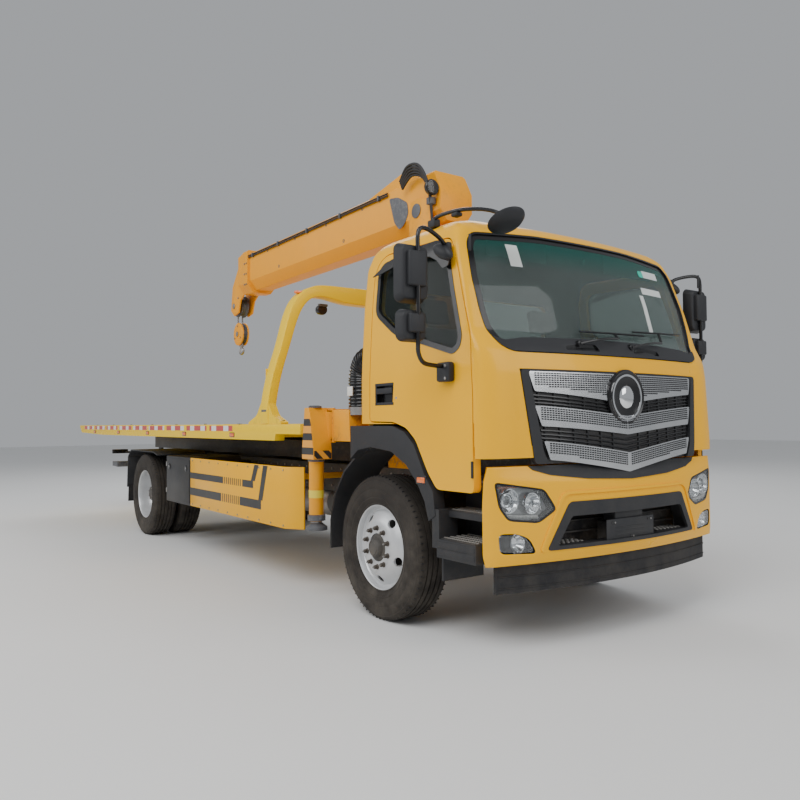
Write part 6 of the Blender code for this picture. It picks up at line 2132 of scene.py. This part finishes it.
def buildInside():
    x = frontAxle
    lean = Matrix.Translation((x + 0.13, 0, 1.52)) @ Matrix.Rotation(
        math.radians(-12.2), 4, "Y",
    ) @ Matrix.Translation((-x - 0.13, 0, -1.52))
    frames = Shape()
    for label, y in (("Driver", 0.56), ("Passenger", -0.56)):
        plump(
            "seatCushion" + label, cushionMesh((x + 0.11, y - 0.235, 1.42), (x + 0.57, y + 0.235, 1.55)),
            "truck", seatCloth,
        )
        plump(
            "seatBack" + label,
            cushionMesh((x + 0.08, y - 0.205, 1.54), (x + 0.185, y + 0.205, 2.1), turn=lean), "truck",
            seatCloth,
        )
        plump(
            "headRest" + label,
            cushionMesh((x + 0.09, y - 0.12, 2.13), (x + 0.165, y + 0.12, 2.32), turn=lean), "truck",
            seatCloth, 0.008, 0.018,
        )
        frames.box((x + 0.13, y - 0.19, 1.2875), (x + 0.53, y + 0.19, 1.42), darkPlastic, 0.02)
        for z in (1.32, 1.35, 1.38):
            frames.box((x + 0.125, y - 0.195, z), (x + 0.535, y + 0.195, z + 0.012), chassisBlack, 0.004)
        frames.box((x + 0.09, y + 0.245, 1.6), (x + 0.4, y + 0.285, 1.65), cabTrim, 0.018, segments=4)
        frames.tube(
            [
                (x + 0.02, y - 0.16, 2.05), (x + 0.0, y - 0.17, 1.85), (x + 0.12, y - 0.05, 1.58),
                (x + 0.3, y + 0.21, 1.56),
            ],
            0.012, chassisBlack, 8, 5,
        )
    frames.box((x + 0.08, -0.3, 1.2855), (x + 0.5, 0.3, 1.47), cabTrim, 0.03, segments=4)
    frames.piece("seatFrames", slot="trim_fabric", stands=("seats",))
    dash = Shape()
    outline = [(0.8, 1.3), (1.13, 1.3), (1.135, 1.68), (1.08, 1.84), (0.88, 1.86), (0.76, 1.74), (0.78, 1.52)]
    dash.prism(rounded(ahead(outline), 0.05, 6), "Y", -0.86, 0.86, cabTrim, 0)
    dash.box((x + 0.755, 0.34, 1.74), (x + 0.92, 0.8, 1.875), darkPlastic, 0.03, segments=4)
    for y in (0.46, 0.67):
        dash.spin(
            [(0, -0.003), (0.06, -0.003), (0.066, 0.0), (0.066, 0.006), (0, 0.006)], (x + 0.752, y, 1.8), "X",
            glossBlack, 32, -1,
        )
    for y in (-0.7, -0.35, 0.05, 0.2):
        for k in range(5):
            dash.box(
                (x + 0.752, y - 0.06, 1.62 + k * 0.02), (x + 0.775, y + 0.06, 1.628 + k * 0.02), glossBlack,
                0.002,
            )
    dash.box((x + 0.757, -0.2, 1.42), (x + 0.778, 0.15, 1.58), glossBlack, 0.008)
    dash.piece("dashboardMoulding", slot="trim_fabric", stands=("dashboard",))
    turn = Matrix.Translation((x + 0.66, 0.56, 1.82)) @ Matrix.Rotation(math.radians(-32), 4, "Y")
    ring = Shape()
    circle = [
        (0.214 + 0.0155 * math.cos(a), 0.0155 * math.sin(a))
        for a in [2 * math.pi * k / 14 for k in range(14)]
    ]
    ring.spin(circle, (0, 0, 0), "Z", darkPlastic, 72, turn=turn)
    ring.spin(
        [(0, -0.03), (0.05, -0.03), (0.066, -0.012), (0.068, 0.008), (0.055, 0.018), (0, 0.02)], (0, 0, 0),
        "Z", darkPlastic, 40, turn=turn,
    )
    for angle in (0, 180, 270):
        spoke = Matrix.Rotation(math.radians(angle + 90), 4, "Z")
        ring.box((0.05, -0.02, -0.008), (0.21, 0.02, 0.006), darkPlastic, 0.005, turn=turn @ spoke)
    ring.tube([(0, 0, -0.13), (0, 0, -0.01)], 0.029, darkPlastic, 24, turn=turn)
    ring.piece("steeringWheel", "steering_wheel", stands=("steering_wheel",))
    roof = Shape()
    for y in (-0.56, 0.56):
        roof.box((x + 0.86, y - 0.27, 2.44), (x + 0.875, y + 0.27, 2.58), cabTrim, 0.006)
    roof.tube([(x + 0.95, 0.0, 2.5), (x + 0.94, 0.0, 2.46)], 0.008, darkPlastic, 8)
    roof.piece("sunVisors", slot="trim_fabric")


# build everything, then the stage
buildCabShell()
print("cab shell done")
buildWipers()
buildGrille()
print("front done")
for side, sign in sides:
    buildDoor(side, sign)
    buildMirrors(side, sign)
    buildHeadlamp(side, sign)
    buildFender(side, sign)
    buildFrontWheel(side, sign)
    buildRearWheel(side, sign)
    buildOutrigger(side, sign)
    buildSideBoxes(side, sign)
print("sides done")
buildFrontMirror()
buildBumper()
buildDeck()
buildGantry()
buildCrane()
buildLuffCylinder()
buildHook()
buildLower()
buildTank()
buildIntake()
print("deck and crane done")
buildInside()
print("cab inside done")


def buildStage():
    bpy.ops.mesh.primitive_plane_add(size=90, location=(0, 0, 0))
    floor = bpy.context.object
    floor.name = "studioFloor"
    paint, tree, shader = startMaterial("paleFloor")
    grain = useGroup(tree, surfaceGrain, {"Scale": 3.0, "Patch Scale": 0.3})
    tone = addNode(
        tree, "ShaderNodeMix", {"A": (0.78, 0.78, 0.77, 1), "B": (0.83, 0.83, 0.82, 1)}, data_type="RGBA",
    )
    wire(tree, (grain, "Patches", tone, "Factor"), (tone, "Result", shader, "Base Color"))
    shader.inputs["Roughness"].default_value = 0.75
    floor.data.materials.append(paint)
    world = bpy.data.worlds.new("studioSky")
    world.use_nodes = True
    world.node_tree.nodes["Background"].inputs["Color"].default_value = (0.86, 0.89, 0.93, 1)
    world.node_tree.nodes["Background"].inputs["Strength"].default_value = 0.46
    bpy.context.scene.world = world
    for name, place, power, size in (
        ("keyLight", (8.0, -9.0, 11.0), 1250, 9.0), ("sideLight", (-5.0, -12.0, 8.0), 620, 9.0),
        ("backLight", (-9.0, 8.0, 10.0), 600, 8.0),
        ("frontLight", (14.0, 4.0, 7.0), 420, 7.0),
    ):
        lamp = bpy.data.lights.new(name, "AREA")
        lamp.energy, lamp.size = power, size
        made = bpy.data.objects.new(name, lamp)
        stageCollection.objects.link(made)
        made.location = place
        made.rotation_euler = (Vector((1.0, 0, 1.2)) - Vector(place)).to_track_quat("-Z", "Y").to_euler()


view = {"place": (7.956, -4.036, 1.381), "yaw": 144.67, "pitch": 1.71, "roll": -0.44, "lens": 33.8}


def buildCamera():
    yaw, pitch, roll = (math.radians(view[k]) for k in ("yaw", "pitch", "roll"))
    forward = Vector((math.cos(yaw) * math.cos(pitch), math.sin(yaw) * math.cos(pitch), math.sin(pitch)))
    right = Vector((math.sin(yaw), -math.cos(yaw), 0))
    up = right.cross(forward)
    right, up = math.cos(roll) * right + math.sin(roll) * up, -math.sin(roll) * right + math.cos(roll) * up
    data = bpy.data.cameras.new("view")
    data.lens, data.sensor_width, data.clip_end = view["lens"], 36, 200
    made = bpy.data.objects.new("view", data)
    stageCollection.objects.link(made)
    made.matrix_world = Matrix((
        (right.x, up.x, -forward.x, view["place"][0]), (right.y, up.y, -forward.y, view["place"][1]),
        (right.z, up.z, -forward.z, view["place"][2]), (0, 0, 0, 1),
    ))
    bpy.context.scene.camera = made


buildStage()
buildCamera()
print("stage done")
